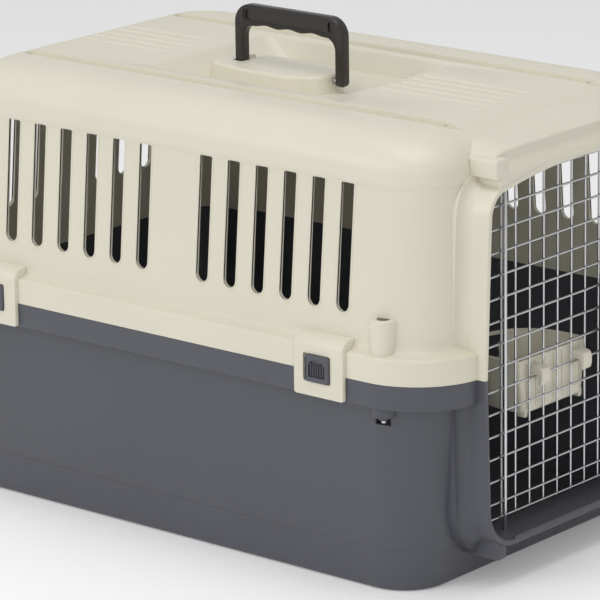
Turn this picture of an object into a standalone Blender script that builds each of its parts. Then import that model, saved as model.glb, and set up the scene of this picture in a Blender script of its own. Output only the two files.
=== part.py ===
"""A two-part pet transport carrier: shells, wire door with its latch, handle, side latches and bowl.

Run it with: blender --background --python part.py
Metres, +Z up, +X out of the door. The origin is the centre of the footprint, on the underside.
"""

import math
from collections import namedtuple

import bmesh
import bpy
from mathutils import Matrix, Vector

# One level of a shell: a rectangle with round corners at height z.
Level = namedtuple("Level", "z half rear front radius")

GAP = 0.0003  # between pieces that touch
WALL = 0.003  # the shells' plastic
SEAM_Z = 0.240  # where the two shells meet
ROOF_Z = 0.500

# The flange round the seam, and the walls beside it.
FLANGE = Level(SEAM_Z, 0.250, -0.3825, 0.3725, 0.088)
FLANGE_SKIN = 0.0032
FLANGE_TOP_Z = 0.2665
FLANGE_BOTTOM_Z = 0.213
WALL_AT_FLANGE = Level(SEAM_Z, 0.2345, -0.367, 0.351, 0.0735)
CORNER_STEPS = 6

# The roof's rounding, from the shoulder above the vents to the flat top.
SHOULDER = Level(0.460, 0.2215, -0.354, 0.346, 0.068)
ROUND_RISE = ROOF_Z - SHOULDER.z
ROUND_IN_SIDE = 0.057
ROUND_IN_REAR = 0.046
ROUND_IN_FRONT = 0.066
ROUND_STEPS = 5

# The side and rear vents.
BODY_X = -0.006  # the middle of each row of vents
VENT_WIDTH = 0.017
VENT_LOW_Z = 0.3057
VENT_HIGH_Z = 0.4455
VENT_PITCH = 0.0398
VENT_GROUP = 6
VENT_HALF_GAP = 0.0442
REAR_VENTS_Y = (0.038, 0.079, 0.120)

# The roof's long grooves, fine grooves and the handle's recess.
GROOVE_Y = 0.129
GROOVE_X = (-0.313, 0.335)
GROOVE_WIDTH = 0.010
GROOVE_DEPTH = 0.005
FINE_COUNT = 5
FINE_PITCH = 0.0195
FINE_MIDDLE_Y = 0.004
FINE_X = ((-0.324, -0.183), (0.130, 0.279))
RECESS_X = (-0.150, 0.124)
RECESS_HALF = 0.105
RECESS_FLOOR_Z = 0.476
RECESS_SLOPE = 0.030

# The collar round the door, the opening inside it and the brow above it.
COLLAR_FRONT = 0.3825
COLLAR_WALL = 0.006
OPENING_SILL_Z = 0.050
OPENING_BOTTOM_HALF = 0.161
OPENING_SEAM_HALF = 0.166
OPENING_BOTTOM_RADIUS = 0.042
ARCH_SPRING = Vector((0.134, 0.412))
ARCH_CORNER = Vector((0.0245, 0.0285))
ARCH_RISE = 0.012
BROW_HALF = 0.1450
BLOCKS = ((-0.139, 0.011), (0.065, 0.008), (0.139, 0.011))  # each one's middle and half width along Y

# The door's grid, hinge rod and latch.
DOOR_X = 0.3545  # the hinge and latch rods' axes
ROD_Y = 0.100
ROD_RADIUS = 0.0023
HINGE_Z = (0.0465, 0.4545)
GRID_X = (0.3482, 0.3508)
GRID_PITCH = 0.0254
ROW_PITCH = 0.02558
GRID_MIDDLE_Y = 0.0030
GRID_SIDE_WIRES = 5
WIRE_RADIUS = 0.0013
WIRE_END = 0.0017
GRID_LOW_Z = 0.0812
GRID_ROWS = 14
GRID_BOTTOM_Z = 0.0640
GRID_Y = (-0.152, 0.148)
GRID_BOTTOM_SHORT = 0.007
BOLT_HIGH_Z = 0.4505
BOLT_LOW_Z = 0.0470
LATCH_Z = 0.250
LATCH_HALF = Vector((0.0062, 0.017, 0.045))
PULL_Z = 0.0262  # from the latch's middle to each pull's middle
PULL_HALF_Z = 0.004
SPRING_RADIUS = 0.004
SPRING_WIRE = 0.0006
SPRING_TURNS = 6

# The carry handle, on two pins that lie along X.
HANDLE_X = -0.0235
HANDLE_HALF = 0.080
HANDLE_TOP_Z = 0.5625
PIVOT_Z = 0.489
LEG_WIDTH = 0.0125
LEG_HALF_Y = 0.0062
GRIP_DEPTH = 0.022
GRIP_WAVE = 0.0016
GRIP_WAVES = 3
PIN_RADIUS = 0.003
PIN_HOLE = 0.0034
ISLAND_X = (-0.144, 0.041)
ISLAND_HALF = 0.038
ISLAND_TOP_Z = 0.496
SLOT_PLAY = 0.001
PIN_SHORT = 0.0025  # how far the front pin stops short of the leg's outer face

# The slide latches on the long sides.
PLATES_X = (0.222, -0.258)
PLATE_HALF = 0.034
PLATE_OUT = 0.0054
PLATE_LOW_Z = 0.213
SLIDER_HALF = Vector((0.0168, 0.0, 0.0157))
SLIDER_Z = 0.2448
SLIDER_TRAVEL = 0.004
NECK_HALF = 0.010

# The corner bolts, in bosses on the flange.
BOLTS_X = (0.292, -0.302)
BOLT_Y = 0.2305
BOSS_HALF = 0.0145
BOSS_IN = 0.0100
BOSS_TOP_Z = 0.307
BOSS_LOW_Z = 0.2005
BOLT_RADIUS = 0.0029
BOLT_HOLE = 0.0033
HEAD_RADIUS = 0.0062
HEAD_HEIGHT = 0.005
HEAD_Z = 0.298
NUT_RADIUS = 0.0060
NUT_HEIGHT = 0.005

# The bowl, hung on the door's grid by two hooks.
BOWL_FRONT = 0.3445
BOWL_Y = 0.0015
BOWL_HALF = 0.0635
BOWL_DEPTH = 0.098
BOWL_Z = (0.1665, 0.2285)
BOWL_WALL = 0.0028
BOWL_TAPER = 0.86
HOOKS_Y = (-0.0351, 0.0411)
HOOK_WIRE_Z = GRID_LOW_Z + 5 * ROW_PITCH
HOOK_HALF = 0.008
HOOK_HEIGHT = 0.0097
HOOK_LIP_X = (0.3573, 0.3623)
HOOK_LIP_LOW_Z = 0.2007


def clear_scene():
    for obj in list(bpy.data.objects):
        bpy.data.objects.remove(obj)


def collection(name, hidden):
    found = bpy.data.collections.new(name)
    bpy.context.scene.collection.children.link(found)
    found.hide_render = hidden
    return found


def material(name, colour, roughness, metallic=0.0):
    made = bpy.data.materials.new(name)
    made.use_nodes = True
    made.diffuse_color = (*colour, 1.0)
    shader = made.node_tree.nodes["Principled BSDF"]
    shader.inputs["Base Color"].default_value = (*colour, 1.0)
    shader.inputs["Roughness"].default_value = roughness
    shader.inputs["Metallic"].default_value = metallic
    return made


clear_scene()
PARTS = collection("pet_transport_carrier", hidden=False)
CUTTERS = collection("cutters", hidden=True)
CREAM = material("cream_plastic", (0.73, 0.70, 0.58), 0.38)
GREY = material("slate_plastic", (0.09, 0.095, 0.11), 0.42)
CHARCOAL = material("charcoal_plastic", (0.042, 0.037, 0.035), 0.30)
WIRE = material("zinc_wire", (0.72, 0.73, 0.74), 0.22, 1.0)
STEEL = material("plated_steel", (0.60, 0.61, 0.62), 0.32, 1.0)


def new_object(name, bm, look=None):
    """A part when it has a look, and a hidden cutter or an addition when it has none."""
    bmesh.ops.recalc_face_normals(bm, faces=bm.faces)
    mesh = bpy.data.meshes.new(name)
    bm.to_mesh(mesh)
    bm.free()
    obj = bpy.data.objects.new(name, mesh)
    if look:
        mesh.materials.append(look)
        PARTS.objects.link(obj)
        mesh.shade_smooth()
        mesh.set_sharp_from_angle(angle=math.radians(35))
    else:
        CUTTERS.objects.link(obj)
        obj.hide_render = True
        obj.display_type = "WIRE"
    return obj


def put_box(bm, low, high):
    low, high = Vector(low), Vector(high)
    place = Matrix.Translation((low + high) / 2) @ Matrix.Diagonal((*(high - low), 1.0))
    bmesh.ops.create_cube(bm, size=1.0, matrix=place)


def put_round(bm, start, end, radius, segments=16):
    """A cylinder from start to end."""
    start, end = Vector(start), Vector(end)
    turn = (end - start).to_track_quat("Z", "Y").to_matrix().to_4x4()
    bmesh.ops.create_cone(
        bm,
        cap_ends=True,
        segments=segments,
        radius1=radius,
        radius2=radius,
        depth=(end - start).length,
        matrix=Matrix.Translation((start + end) / 2) @ turn,
    )


# Each turns a flat outline's own plane and thickness into the plane that its letters name.
PLANES = {
    "XY": Matrix.Identity(4),
    "YZ": Matrix(((0, 0, 1, 0), (1, 0, 0, 0), (0, 1, 0, 0), (0, 0, 0, 1))),
    "XZ": Matrix(((1, 0, 0, 0), (0, 0, -1, 0), (0, 1, 0, 0), (0, 0, 0, 1))),
}
SIGN = {"XY": 1, "YZ": 1, "XZ": -1}


def put_outline(bm, plane, outlines, low, high):
    """A flat shape drawn as closed outlines, the later ones holes, from low to high across its plane."""
    curve = bpy.data.curves.new("outline", "CURVE")
    curve.dimensions = "2D"
    curve.fill_mode = "BOTH"
    curve.extrude = (high - low) / 2
    for outline in outlines:
        spline = curve.splines.new("POLY")
        spline.points.add(len(outline) - 1)
        spline.use_cyclic_u = True
        for point, (across, up) in zip(spline.points, outline):
            point.co = (across, up, 0, 1)
    guide = bpy.data.objects.new("outline", curve)
    CUTTERS.objects.link(guide)
    bpy.context.view_layer.update()
    graph = bpy.context.evaluated_depsgraph_get()
    mesh = bpy.data.meshes.new_from_object(guide.evaluated_get(graph))
    shift = Matrix.Translation((0, 0, SIGN[plane] * (low + high) / 2))
    mesh.transform(PLANES[plane] @ shift)
    bm.from_mesh(mesh)
    bmesh.ops.remove_doubles(bm, verts=bm.verts, dist=1e-6)
    bpy.data.objects.remove(guide)
    bpy.data.curves.remove(curve)
    bpy.data.meshes.remove(mesh)


def arc(centre, radius, start, end, steps):
    """Points from one angle to another, in degrees. The radius is one number, or one along each axis."""
    rx, ry = (radius, radius) if isinstance(radius, float) else radius
    found = []
    for step in range(steps + 1):
        angle = math.radians(start + (end - start) * step / steps)
        found.append((centre[0] + rx * math.cos(angle), centre[1] + ry * math.sin(angle)))
    return found


def level_points(level, steps=CORNER_STEPS):
    """The points round a level, anticlockwise from above."""
    r = level.radius
    right, left = level.front - r, level.rear + r
    near, far = -level.half + r, level.half - r
    points = arc((right, far), r, 0, 90, steps) + arc((left, far), r, 90, 180, steps)
    points += arc((left, near), r, 180, 270, steps) + arc((right, near), r, 270, 360, steps)
    return [Vector((x, y, level.z)) for x, y in points]


def put_loft(bm, rings):
    """A closed solid through rings of as many points each, with its two ends filled."""
    made = [[bm.verts.new(point) for point in ring] for ring in rings]
    count = len(rings[0])
    sides = []
    for lower, upper in zip(made, made[1:]):
        for i in range(count):
            j = (i + 1) % count
            sides.append(bm.faces.new((lower[i], lower[j], upper[j], upper[i])))
    bmesh.ops.triangulate(bm, faces=sides)
    bm.faces.new(reversed(made[0]))
    bm.faces.new(made[-1])


def shell_solid(name, levels, look=None):
    bm = bmesh.new()
    put_loft(bm, [level_points(level) for level in levels])
    return new_object(name, bm, look)


def boxes(name, pairs, look=None):
    bm = bmesh.new()
    for low, high in pairs:
        put_box(bm, low, high)
    return new_object(name, bm, look)


def combine(target, other, operation):
    change = target.modifiers.new(f"{operation.lower()} {other.name}", "BOOLEAN")
    change.operation = operation
    change.object = other
    change.solver = "EXACT"


def cut(target, other):
    combine(target, other, "DIFFERENCE")


def join(target, other):
    combine(target, other, "UNION")


def grown(level, by, z):
    """A level moved out by a distance, or in where it is negative, at another height."""
    return Level(z, level.half + by, level.rear - by, level.front + by, level.radius + by)


def mirrored(points):
    """An outline's right half, drawn upwards, closed by its reflection."""
    return points + [(-y, z) for y, z in reversed(points) if y > 0]


def opening_outline(grow=0.0):
    """The door opening in the YZ plane, grown outwards."""
    centre = (OPENING_BOTTOM_HALF - OPENING_BOTTOM_RADIUS, OPENING_SILL_Z + OPENING_BOTTOM_RADIUS)
    points = arc(centre, OPENING_BOTTOM_RADIUS + grow, -90, 0, 4)
    points.append((OPENING_SEAM_HALF + grow, SEAM_Z))
    points += arc(ARCH_SPRING, ARCH_CORNER + Vector((grow, grow)), 0, 90, 5)
    spring = points.pop()
    for step in range(5):
        share = 1 - step / 4
        points.append((spring[0] * share, spring[1] + ARCH_RISE * (1 - share**2)))
    return mirrored(points)


def tunnel(name, grow, low, high, back, front):
    """The door opening's shape from back to front, kept between two heights."""
    bm = bmesh.new()
    put_outline(bm, "YZ", [opening_outline(grow)], back, front)
    shape = new_object(name, bm)
    keep = ((back - 0.1, -0.3, low), (front + 0.1, 0.3, high))
    combine(shape, boxes(name + "_span", [keep]), "INTERSECT")
    return shape


def flange_channel(name, low, high):
    """The hollow under the flange, a ring between its skin and the shell's wall."""
    bm = bmesh.new()
    outer = [level_points(grown(FLANGE, -FLANGE_SKIN, z)) for z in (low, high)]
    put_loft(bm, outer)
    ring = new_object(name, bm)
    cut(ring, shell_solid(name + "_core", [grown(WALL_AT_FLANGE, 0.0033, z) for z in (low - 0.01, high + 0.01)]))
    half = OPENING_SEAM_HALF + COLLAR_WALL + 0.0005
    cut(ring, boxes(name + "_gap", [((0.30, -half, low - 0.02), (0.40, half, high + 0.02))]))
    cut(ring, corner_bosses(name + "_bosses", low - 0.03, high + 0.03))
    return ring


def vents():
    """Slots with flat tops and round bottoms, through both long sides and the rear."""
    bm = bmesh.new()
    half = VENT_WIDTH / 2

    def slot(middle):
        bottom = arc((middle, VENT_LOW_Z + half), half, 180, 360, 6)
        return bottom + [(middle + half, VENT_HIGH_Z), (middle - half, VENT_HIGH_Z)]

    for side in (-1, 1):
        for i in range(VENT_GROUP):
            middle = BODY_X + side * (VENT_HALF_GAP + i * VENT_PITCH)
            for wall in (-1, 1):
                low, high = sorted((wall * 0.20, wall * 0.26))
                put_outline(bm, "XZ", [slot(middle)], low, high)
        for y in REAR_VENTS_Y:
            put_outline(bm, "YZ", [slot(side * y)], -0.40, -0.33)
    return new_object("vents", bm)


def corner_bosses(name, low, high):
    bm = bmesh.new()
    for x in BOLTS_X:
        for side in (-1, 1):
            y = side * BOLT_Y
            near, far = sorted((y - side * BOSS_IN, y + side * BOSS_HALF))
            put_box(bm, (x - BOSS_HALF, near, low), (x + BOSS_HALF, far, high))
    return new_object(name, bm)


def corner_boxes(name, reach_x, reach_y, reach_z):
    """A box at each corner bolt, its reach in Y counted outwards from the bolt."""
    pairs = []
    for x in BOLTS_X:
        for side in (-1, 1):
            near, far = sorted((side * (BOLT_Y + reach_y[0]), side * (BOLT_Y + reach_y[1])))
            pairs.append(((x - reach_x[0], near, reach_z[0]), (x + reach_x[1], far, reach_z[1])))
    return boxes(name, pairs)


def corner_holes(name, low, high, radius):
    bm = bmesh.new()
    for x in BOLTS_X:
        for side in (-1, 1):
            put_round(bm, (x, side * BOLT_Y, low), (x, side * BOLT_Y, high), radius)
    return new_object(name, bm)


def roof_pan():
    """Material under the roof for the grooves and the recess, before they are cut."""
    low, high = ROOF_Z - GROOVE_DEPTH - WALL, ROOF_Z - 0.001
    flat_end = 0.290
    pairs = [
        (
            (RECESS_X[0] - 0.006, -RECESS_HALF - 0.006, RECESS_FLOOR_Z - WALL),
            (RECESS_X[1] + 0.006, RECESS_HALF + 0.006, high),
        )
    ]
    for side in (-1, 1):
        near, far = sorted((side * (GROOVE_Y - 0.011), side * (GROOVE_Y + 0.011)))
        pairs.append(((GROOVE_X[0] - 0.004, near, low), (flat_end, far, high)))
        pairs.append(((flat_end - 0.003, near + 0.001, low - 0.001), (0.304, far - 0.001, ROOF_Z - 0.0038)))
    return [boxes(f"roof_pan_{i}", [pair]) for i, pair in enumerate(pairs)]


def roof_cuts():
    """The two long grooves, the fine grooves at each end, and the recess with its sloping ends."""
    pairs = []
    high = ROOF_Z + 0.01
    for side in (-1, 1):
        near, far = side * GROOVE_Y - GROOVE_WIDTH / 2, side * GROOVE_Y + GROOVE_WIDTH / 2
        pairs.append(((GROOVE_X[0], near, ROOF_Z - GROOVE_DEPTH), (GROOVE_X[1], far, high)))
    for start, end in FINE_X:
        for i in range(FINE_COUNT):
            y = FINE_MIDDLE_Y + (i - (FINE_COUNT - 1) / 2) * FINE_PITCH
            pairs.append(((start, y - 0.0012, ROOF_Z - 0.0012), (end, y + 0.0012, high)))
    return boxes("roof_cuts", pairs)


def recess_cut():
    low = RECESS_FLOOR_Z
    floor = Level(low, RECESS_HALF - 0.008, RECESS_X[0] + RECESS_SLOPE, RECESS_X[1] - RECESS_SLOPE, 0.02)
    rim = Level(ROOF_Z, RECESS_HALF, RECESS_X[0], RECESS_X[1], 0.012)
    return shell_solid("recess", [floor, rim, grown(rim, 0.0, ROOF_Z + 0.01)])


def handle_island():
    """The lens-shaped stand between the handle's legs, level with the roof."""
    bm = bmesh.new()
    middle = sum(ISLAND_X) / 2
    reach = (ISLAND_X[1] - ISLAND_X[0]) / 2
    outline = [
        (middle + reach * math.cos(angle), ISLAND_HALF * math.sin(angle))
        for angle in (math.tau * i / 20 for i in range(20))
    ]
    put_outline(bm, "XY", [outline], RECESS_FLOOR_Z - 0.001, ISLAND_TOP_Z)
    return new_object("island", bm)


def leg_places():
    """The middle of the handle's rear leg and of its front leg, along X."""
    offset = HANDLE_HALF - LEG_WIDTH / 2
    return HANDLE_X - offset, HANDLE_X + offset


def leg_slot():
    """The slot in the island for the rear leg, open on the side the handle folds to."""
    middle = leg_places()[0]
    half = LEG_WIDTH / 2 + SLOT_PLAY
    low = (middle - half, -LEG_HALF_Y - 0.003, PIVOT_Z - LEG_HALF_Y - 0.0012)
    return boxes("leg_slot", [(low, (middle + half, ISLAND_HALF + 0.01, ROOF_Z + 0.01))])


def pin_spans():
    """Where each handle pin starts and ends along X."""
    rear, front = leg_places()
    return {
        "handle_pin_rear": (rear - 0.020, rear + 0.018),
        "handle_pin_front": (front - 0.024, front + LEG_WIDTH / 2 - PIN_SHORT),
    }


def pin_holes():
    bm = bmesh.new()
    for start, end in pin_spans().values():
        put_round(bm, (start - GAP, 0, PIVOT_Z), (end + 0.0015, 0, PIVOT_Z), PIN_HOLE, 12)
    return new_object("pin_holes", bm)


def brow():
    """The visor above the door, from the roof's edge to the collar."""
    bm = bmesh.new()
    profile = [
        (0.296, 0.4385),
        (0.3815, 0.4385),
        (0.3815, 0.4575),
        (0.370, 0.4705),
        (0.370, 0.4810),
        (0.345, 0.4870),
        (0.320, 0.4930),
        (0.296, 0.4984),
    ]
    put_outline(bm, "XZ", [profile], -BROW_HALF, BROW_HALF)
    return new_object("brow", bm)


def brow_blocks():
    pairs = []
    for y, half in BLOCKS:
        pairs.append(((0.340, y - half, 0.442), (COLLAR_FRONT - 0.001, y + half, 0.4745)))
    return boxes("brow_blocks", pairs)


def latch_plates():
    """The plates that hang from the upper flange over the lower one, with tops that curve in to the wall."""
    out = FLANGE.half + PLATE_OUT
    profile = [
        (0.246, PLATE_LOW_Z),
        (out, PLATE_LOW_Z),
        (out, 0.2665),
        (out - 0.0025, 0.2735),
        (out - 0.0085, 0.2785),
        (out - 0.0160, 0.2805),
        (0.229, 0.2810),
        (0.229, 0.2600),
        (0.246, 0.2600),
    ]
    bm = bmesh.new()
    for x in PLATES_X:
        for side in (-1, 1):
            outline = [(side * y, z) for y, z in profile]
            put_outline(bm, "YZ", [outline], x - PLATE_HALF, x + PLATE_HALF)
    return new_object("latch_plates", bm)


def upper_seam_trim():
    """Everything under the upper shell's rim, except the latch plates."""
    half = FLANGE.half + 0.0004
    return boxes("upper_seam_trim", [((-0.45, -half, 0.15), (0.45, half, SEAM_Z + GAP / 2))])


def slider_cuts():
    """In each plate the window that the button slides in, and behind it the slot for the button's neck."""
    windows, necks = [], []
    for x in PLATES_X:
        for side in (-1, 1):
            near, far = sorted((side * (FLANGE.half + 0.0002), side * (FLANGE.half + 0.02)))
            low_x, high_x = x - SLIDER_HALF.x - SLIDER_TRAVEL - 0.0005, x + SLIDER_HALF.x + 0.0005
            low_z, high_z = SLIDER_Z - SLIDER_HALF.z - 0.0005, SLIDER_Z + SLIDER_HALF.z + 0.0005
            windows.append(((low_x, near, low_z), (high_x, far, high_z)))
            near, far = sorted((side * (FLANGE.half - 0.006), side * (FLANGE.half + 0.01)))
            neck_low, neck_high = x - NECK_HALF - SLIDER_TRAVEL - 0.0005, x + NECK_HALF + 0.0005
            necks.append(((neck_low, near, SEAM_Z + 0.003), (neck_high, far, SEAM_Z + 0.0175)))
    return boxes("slider_windows", windows), boxes("slider_necks", necks)


def rod_sockets(name, low, high, keeper_high):
    """The hinge rod's hole, and the latch's keeper, a slot that opens forwards along the bolt's path."""
    bm = bmesh.new()
    put_round(bm, (DOOR_X, -ROD_Y, low), (DOOR_X, -ROD_Y, high), ROD_RADIUS + 0.0006)
    keeper_low = (DOOR_X - 0.004, ROD_Y - 0.005, low + 0.0003)
    put_box(bm, keeper_low, (COLLAR_FRONT + 0.01, ROD_Y + 0.004, keeper_high))
    return new_object(name, bm)


def roof_levels(shoulder, inset):
    """From the shoulder to the flat top, inset for the inside of the plastic."""
    levels = []
    for step in range(ROUND_STEPS + 1):
        angle = math.radians(90) * step / ROUND_STEPS
        share = 1 - math.cos(angle)
        side = ROUND_IN_SIDE * share
        levels.append(
            Level(
                shoulder.z - inset + ROUND_RISE * math.sin(angle),
                shoulder.half - inset - side,
                shoulder.rear + inset + ROUND_IN_REAR * share,
                shoulder.front - inset - ROUND_IN_FRONT * share,
                shoulder.radius - inset - 0.55 * side,
            )
        )
    return levels


def top_shell():
    under_shoulder = Level(0.446, 0.2195, -0.352, 0.346, 0.066)
    outer = [
        grown(FLANGE, 0.0, SEAM_Z - 0.008),
        grown(FLANGE, 0.0, FLANGE_TOP_Z),
        grown(FLANGE, -0.003, FLANGE_TOP_Z + 0.003),
        grown(WALL_AT_FLANGE, 0.0, FLANGE_TOP_Z + 0.009),
        under_shoulder,
        grown(SHOULDER, 0.001, 0.449),
        *roof_levels(SHOULDER, 0.0),
    ]
    inner = [
        grown(WALL_AT_FLANGE, 0.0, SEAM_Z - 0.02),
        grown(under_shoulder, -WALL, 0.444),
        *roof_levels(SHOULDER, WALL),
    ]
    shell = shell_solid("top_shell", outer, CREAM)
    join(shell, tunnel("collar_top", COLLAR_WALL, SEAM_Z - 0.005, 0.50, 0.335, COLLAR_FRONT))
    join(shell, brow())
    join(shell, brow_blocks())
    join(shell, latch_plates())
    cut(shell, shell_solid("cabin_top", inner))
    join(shell, corner_bosses("bosses_top", SEAM_Z - 0.006, BOSS_TOP_Z))
    cut(shell, flange_channel("channel_top", SEAM_Z - 0.012, FLANGE_TOP_Z - 0.0005))
    cut(shell, tunnel("door_opening_top", 0.0, SEAM_Z - 0.02, 0.50, 0.325, 0.400))
    cut(shell, upper_seam_trim())
    for cutter in slider_cuts():
        cut(shell, cutter)
    cut(shell, vents())
    for pan in roof_pan():
        join(shell, pan)
    cut(shell, recess_cut())
    join(shell, handle_island())
    cut(shell, roof_cuts())
    cut(shell, leg_slot())
    cut(shell, pin_holes())
    cut(shell, rod_sockets("upper_sockets", 0.430, 0.457, 0.452))
    cut(shell, corner_holes("bolt_holes_top", 0.22, 0.32, BOLT_HOLE))
    cut(shell, corner_holes("bolt_heads_top", HEAD_Z - GAP, BOSS_TOP_Z + 0.0003, HEAD_RADIUS + 0.001))
    return shell


def bottom_shell():
    foot = Level(0.0, 0.2215, -0.3435, 0.3225, 0.050)
    skirt = Level(0.046, 0.2270, -0.352, 0.333, 0.056)
    outer = [
        foot,
        grown(foot, 0.0045, 0.005),
        skirt,
        grown(skirt, 0.0020, 0.0485),
        grown(WALL_AT_FLANGE, 0.0, FLANGE_BOTTOM_Z - 0.002),
        grown(FLANGE, -0.0015, FLANGE_BOTTOM_Z),
        grown(FLANGE, 0.0, FLANGE_BOTTOM_Z + 0.0015),
        grown(FLANGE, 0.0, SEAM_Z + 0.008),
    ]
    inner = [
        grown(foot, -WALL, WALL),
        grown(skirt, -WALL, 0.0465),
        grown(skirt, -0.0010, 0.0505),
        grown(WALL_AT_FLANGE, -WALL, FLANGE_BOTTOM_Z),
        grown(WALL_AT_FLANGE, 0.0, SEAM_Z + 0.02),
    ]
    shell = shell_solid("bottom_shell", outer, GREY)
    join(shell, tunnel("collar_bottom", COLLAR_WALL, 0.03, SEAM_Z + 0.005, 0.320, COLLAR_FRONT))
    under = [
        ((0.322, side * 0.136 - 0.008, 0.030), (0.378, side * 0.136 + 0.008, 0.060)) for side in (-1, 1)
    ]
    join(shell, boxes("blocks_under_collar", under))
    cut(shell, shell_solid("cabin_bottom", inner))
    join(shell, corner_bosses("bosses_bottom", BOSS_LOW_Z, SEAM_Z + 0.006))
    join(shell, corner_boxes("nut_backs", (0.0125, 0.0125), (-0.0145, -0.0070), (0.186, BOSS_LOW_Z + 0.004)))
    cut(shell, corner_boxes("nut_pockets", (0.0090, 0.0090), (-0.0085, 0.0300), (0.190, BOSS_LOW_Z)))
    cut(shell, flange_channel("channel_bottom", FLANGE_BOTTOM_Z + 0.0032, SEAM_Z + 0.012))
    cut(shell, tunnel("door_opening_bottom", 0.0, 0.02, SEAM_Z + 0.02, 0.310, 0.400))
    lip = [((COLLAR_FRONT - 0.0035, -0.118, 0.046), (COLLAR_FRONT - 0.0002, 0.118, 0.0525))]
    join(shell, boxes("sill_lip", lip))
    cut(shell, rod_sockets("lower_sockets", 0.0460, 0.0600, 0.0600))
    cut(shell, corner_holes("bolt_holes_bottom", 0.1905, 0.26, BOLT_HOLE))
    cut(shell, boxes("lower_seam_trim", [((-0.45, -0.30, SEAM_Z - GAP / 2), (0.45, 0.30, 0.30))]))
    return shell


def rod(name, x, y, low, high, look=WIRE):
    bm = bmesh.new()
    put_round(bm, (x, y, low), (x, y, high), ROD_RADIUS, 12)
    return new_object(name, bm, look)


def grid_places():
    """The upright wires' places along Y, the rows' heights, and the height of the short row above them."""
    wires_y = [GRID_MIDDLE_Y + GRID_PITCH * k for k in range(-GRID_SIDE_WIRES, GRID_SIDE_WIRES + 1)]
    rows = [GRID_BOTTOM_Z] + [GRID_LOW_Z + ROW_PITCH * k for k in range(GRID_ROWS)]
    return wires_y, rows, rows[-1] + ROW_PITCH


def door_grid():
    """The welded wires as one flat lattice, with the wires' ends standing out past the outer ones."""
    wires_y, rows, _ = grid_places()
    half, end = WIRE_RADIUS, WIRE_END
    first, last = wires_y[0], wires_y[-1]
    outline = [(first - half, rows[0] - half)]
    for y in wires_y:
        outline += [(y - half, rows[0] - half), (y - half, rows[0] - half - end)]
        outline += [(y + half, rows[0] - half - end), (y + half, rows[0] - half)]
    for z in rows:
        end_y = GRID_Y[1] - (GRID_BOTTOM_SHORT if z == rows[0] else 0.0)
        outline += [(last + half, z - half), (end_y, z - half), (end_y, z + half), (last + half, z + half)]
    top = rows[-1] + half
    for y in reversed(wires_y):
        outline += [(y + half, top), (y + half, top + end), (y - half, top + end), (y - half, top)]
    for z in reversed(rows):
        end_y = GRID_Y[0] + (GRID_BOTTOM_SHORT if z == rows[0] else 0.0)
        outline += [(first - half, z + half), (end_y, z + half), (end_y, z - half), (first - half, z - half)]
    outlines = [without_repeats(outline)]
    for low, high in zip(rows, rows[1:]):
        for left, right in zip(wires_y, wires_y[1:]):
            outlines.append(
                [
                    (left + half, low + half),
                    (left + half, high - half),
                    (right - half, high - half),
                    (right - half, low + half),
                ]
            )
    bm = bmesh.new()
    put_outline(bm, "YZ", outlines, *GRID_X)
    return new_object("door_grid", bm, WIRE)


def door_grid_top():
    """The short top row under the arch, a comb that stands on the grid's upright wires."""
    wires_y, rows, crown = grid_places()
    half = WIRE_RADIUS
    low = rows[-1] + half + WIRE_END + GAP
    outline = []
    for y in wires_y[1:-1]:
        outline += [(y - half, crown - half), (y - half, low), (y + half, low), (y + half, crown - half)]
    for y in reversed(wires_y[1:-1]):
        outline += [(y + half, crown + half), (y + half, crown + half + WIRE_END)]
        outline += [(y - half, crown + half + WIRE_END), (y - half, crown + half)]
    bm = bmesh.new()
    put_outline(bm, "YZ", [outline], *GRID_X)
    return new_object("door_grid_top", bm, WIRE)


def without_repeats(points):
    kept = [points[0]]
    for point in points[1:]:
        if math.dist(point, kept[-1]) > 1e-6:
            kept.append(point)
    return kept if math.dist(kept[0], kept[-1]) > 1e-6 else kept[:-1]


def latch_housing():
    low = Vector((GRID_X[1] + GAP, ROD_Y - LATCH_HALF.y, LATCH_Z - LATCH_HALF.z))
    high = Vector((GRID_X[1] + 2 * LATCH_HALF.x, ROD_Y + LATCH_HALF.y, LATCH_Z + LATCH_HALF.z))
    wall = 0.0025
    housing = boxes("latch_housing", [(low, high)], GREY)
    pocket_low = (low.x - 0.01, low.y + wall, low.z + wall)
    pocket = (pocket_low, (high.x - wall, high.y - wall, high.z - wall))
    reach = PULL_Z + PULL_HALF_Z + 0.0008
    window = ((low.x, ROD_Y - 0.0085, LATCH_Z - reach), (high.x + 0.01, ROD_Y + 0.0085, LATCH_Z + reach))
    cut(housing, boxes("latch_pocket", [pocket]))
    cut(housing, boxes("latch_window", [window]))
    bore = bmesh.new()
    put_round(bore, (DOOR_X, ROD_Y, low.z - 0.01), (DOOR_X, ROD_Y, high.z + 0.01), ROD_RADIUS + 0.0004)
    cut(housing, new_object("latch_bore", bore))
    return housing


def finger_pull(name, side):
    """A pull above (side 1) or below (side -1) the latch's middle."""
    middle = LATCH_Z + side * PULL_Z
    low = (GRID_X[1] + GAP, ROD_Y - 0.008, middle - PULL_HALF_Z)
    return boxes(name, [(low, (0.3785, ROD_Y + 0.008, middle + PULL_HALF_Z))], GREY)


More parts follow.
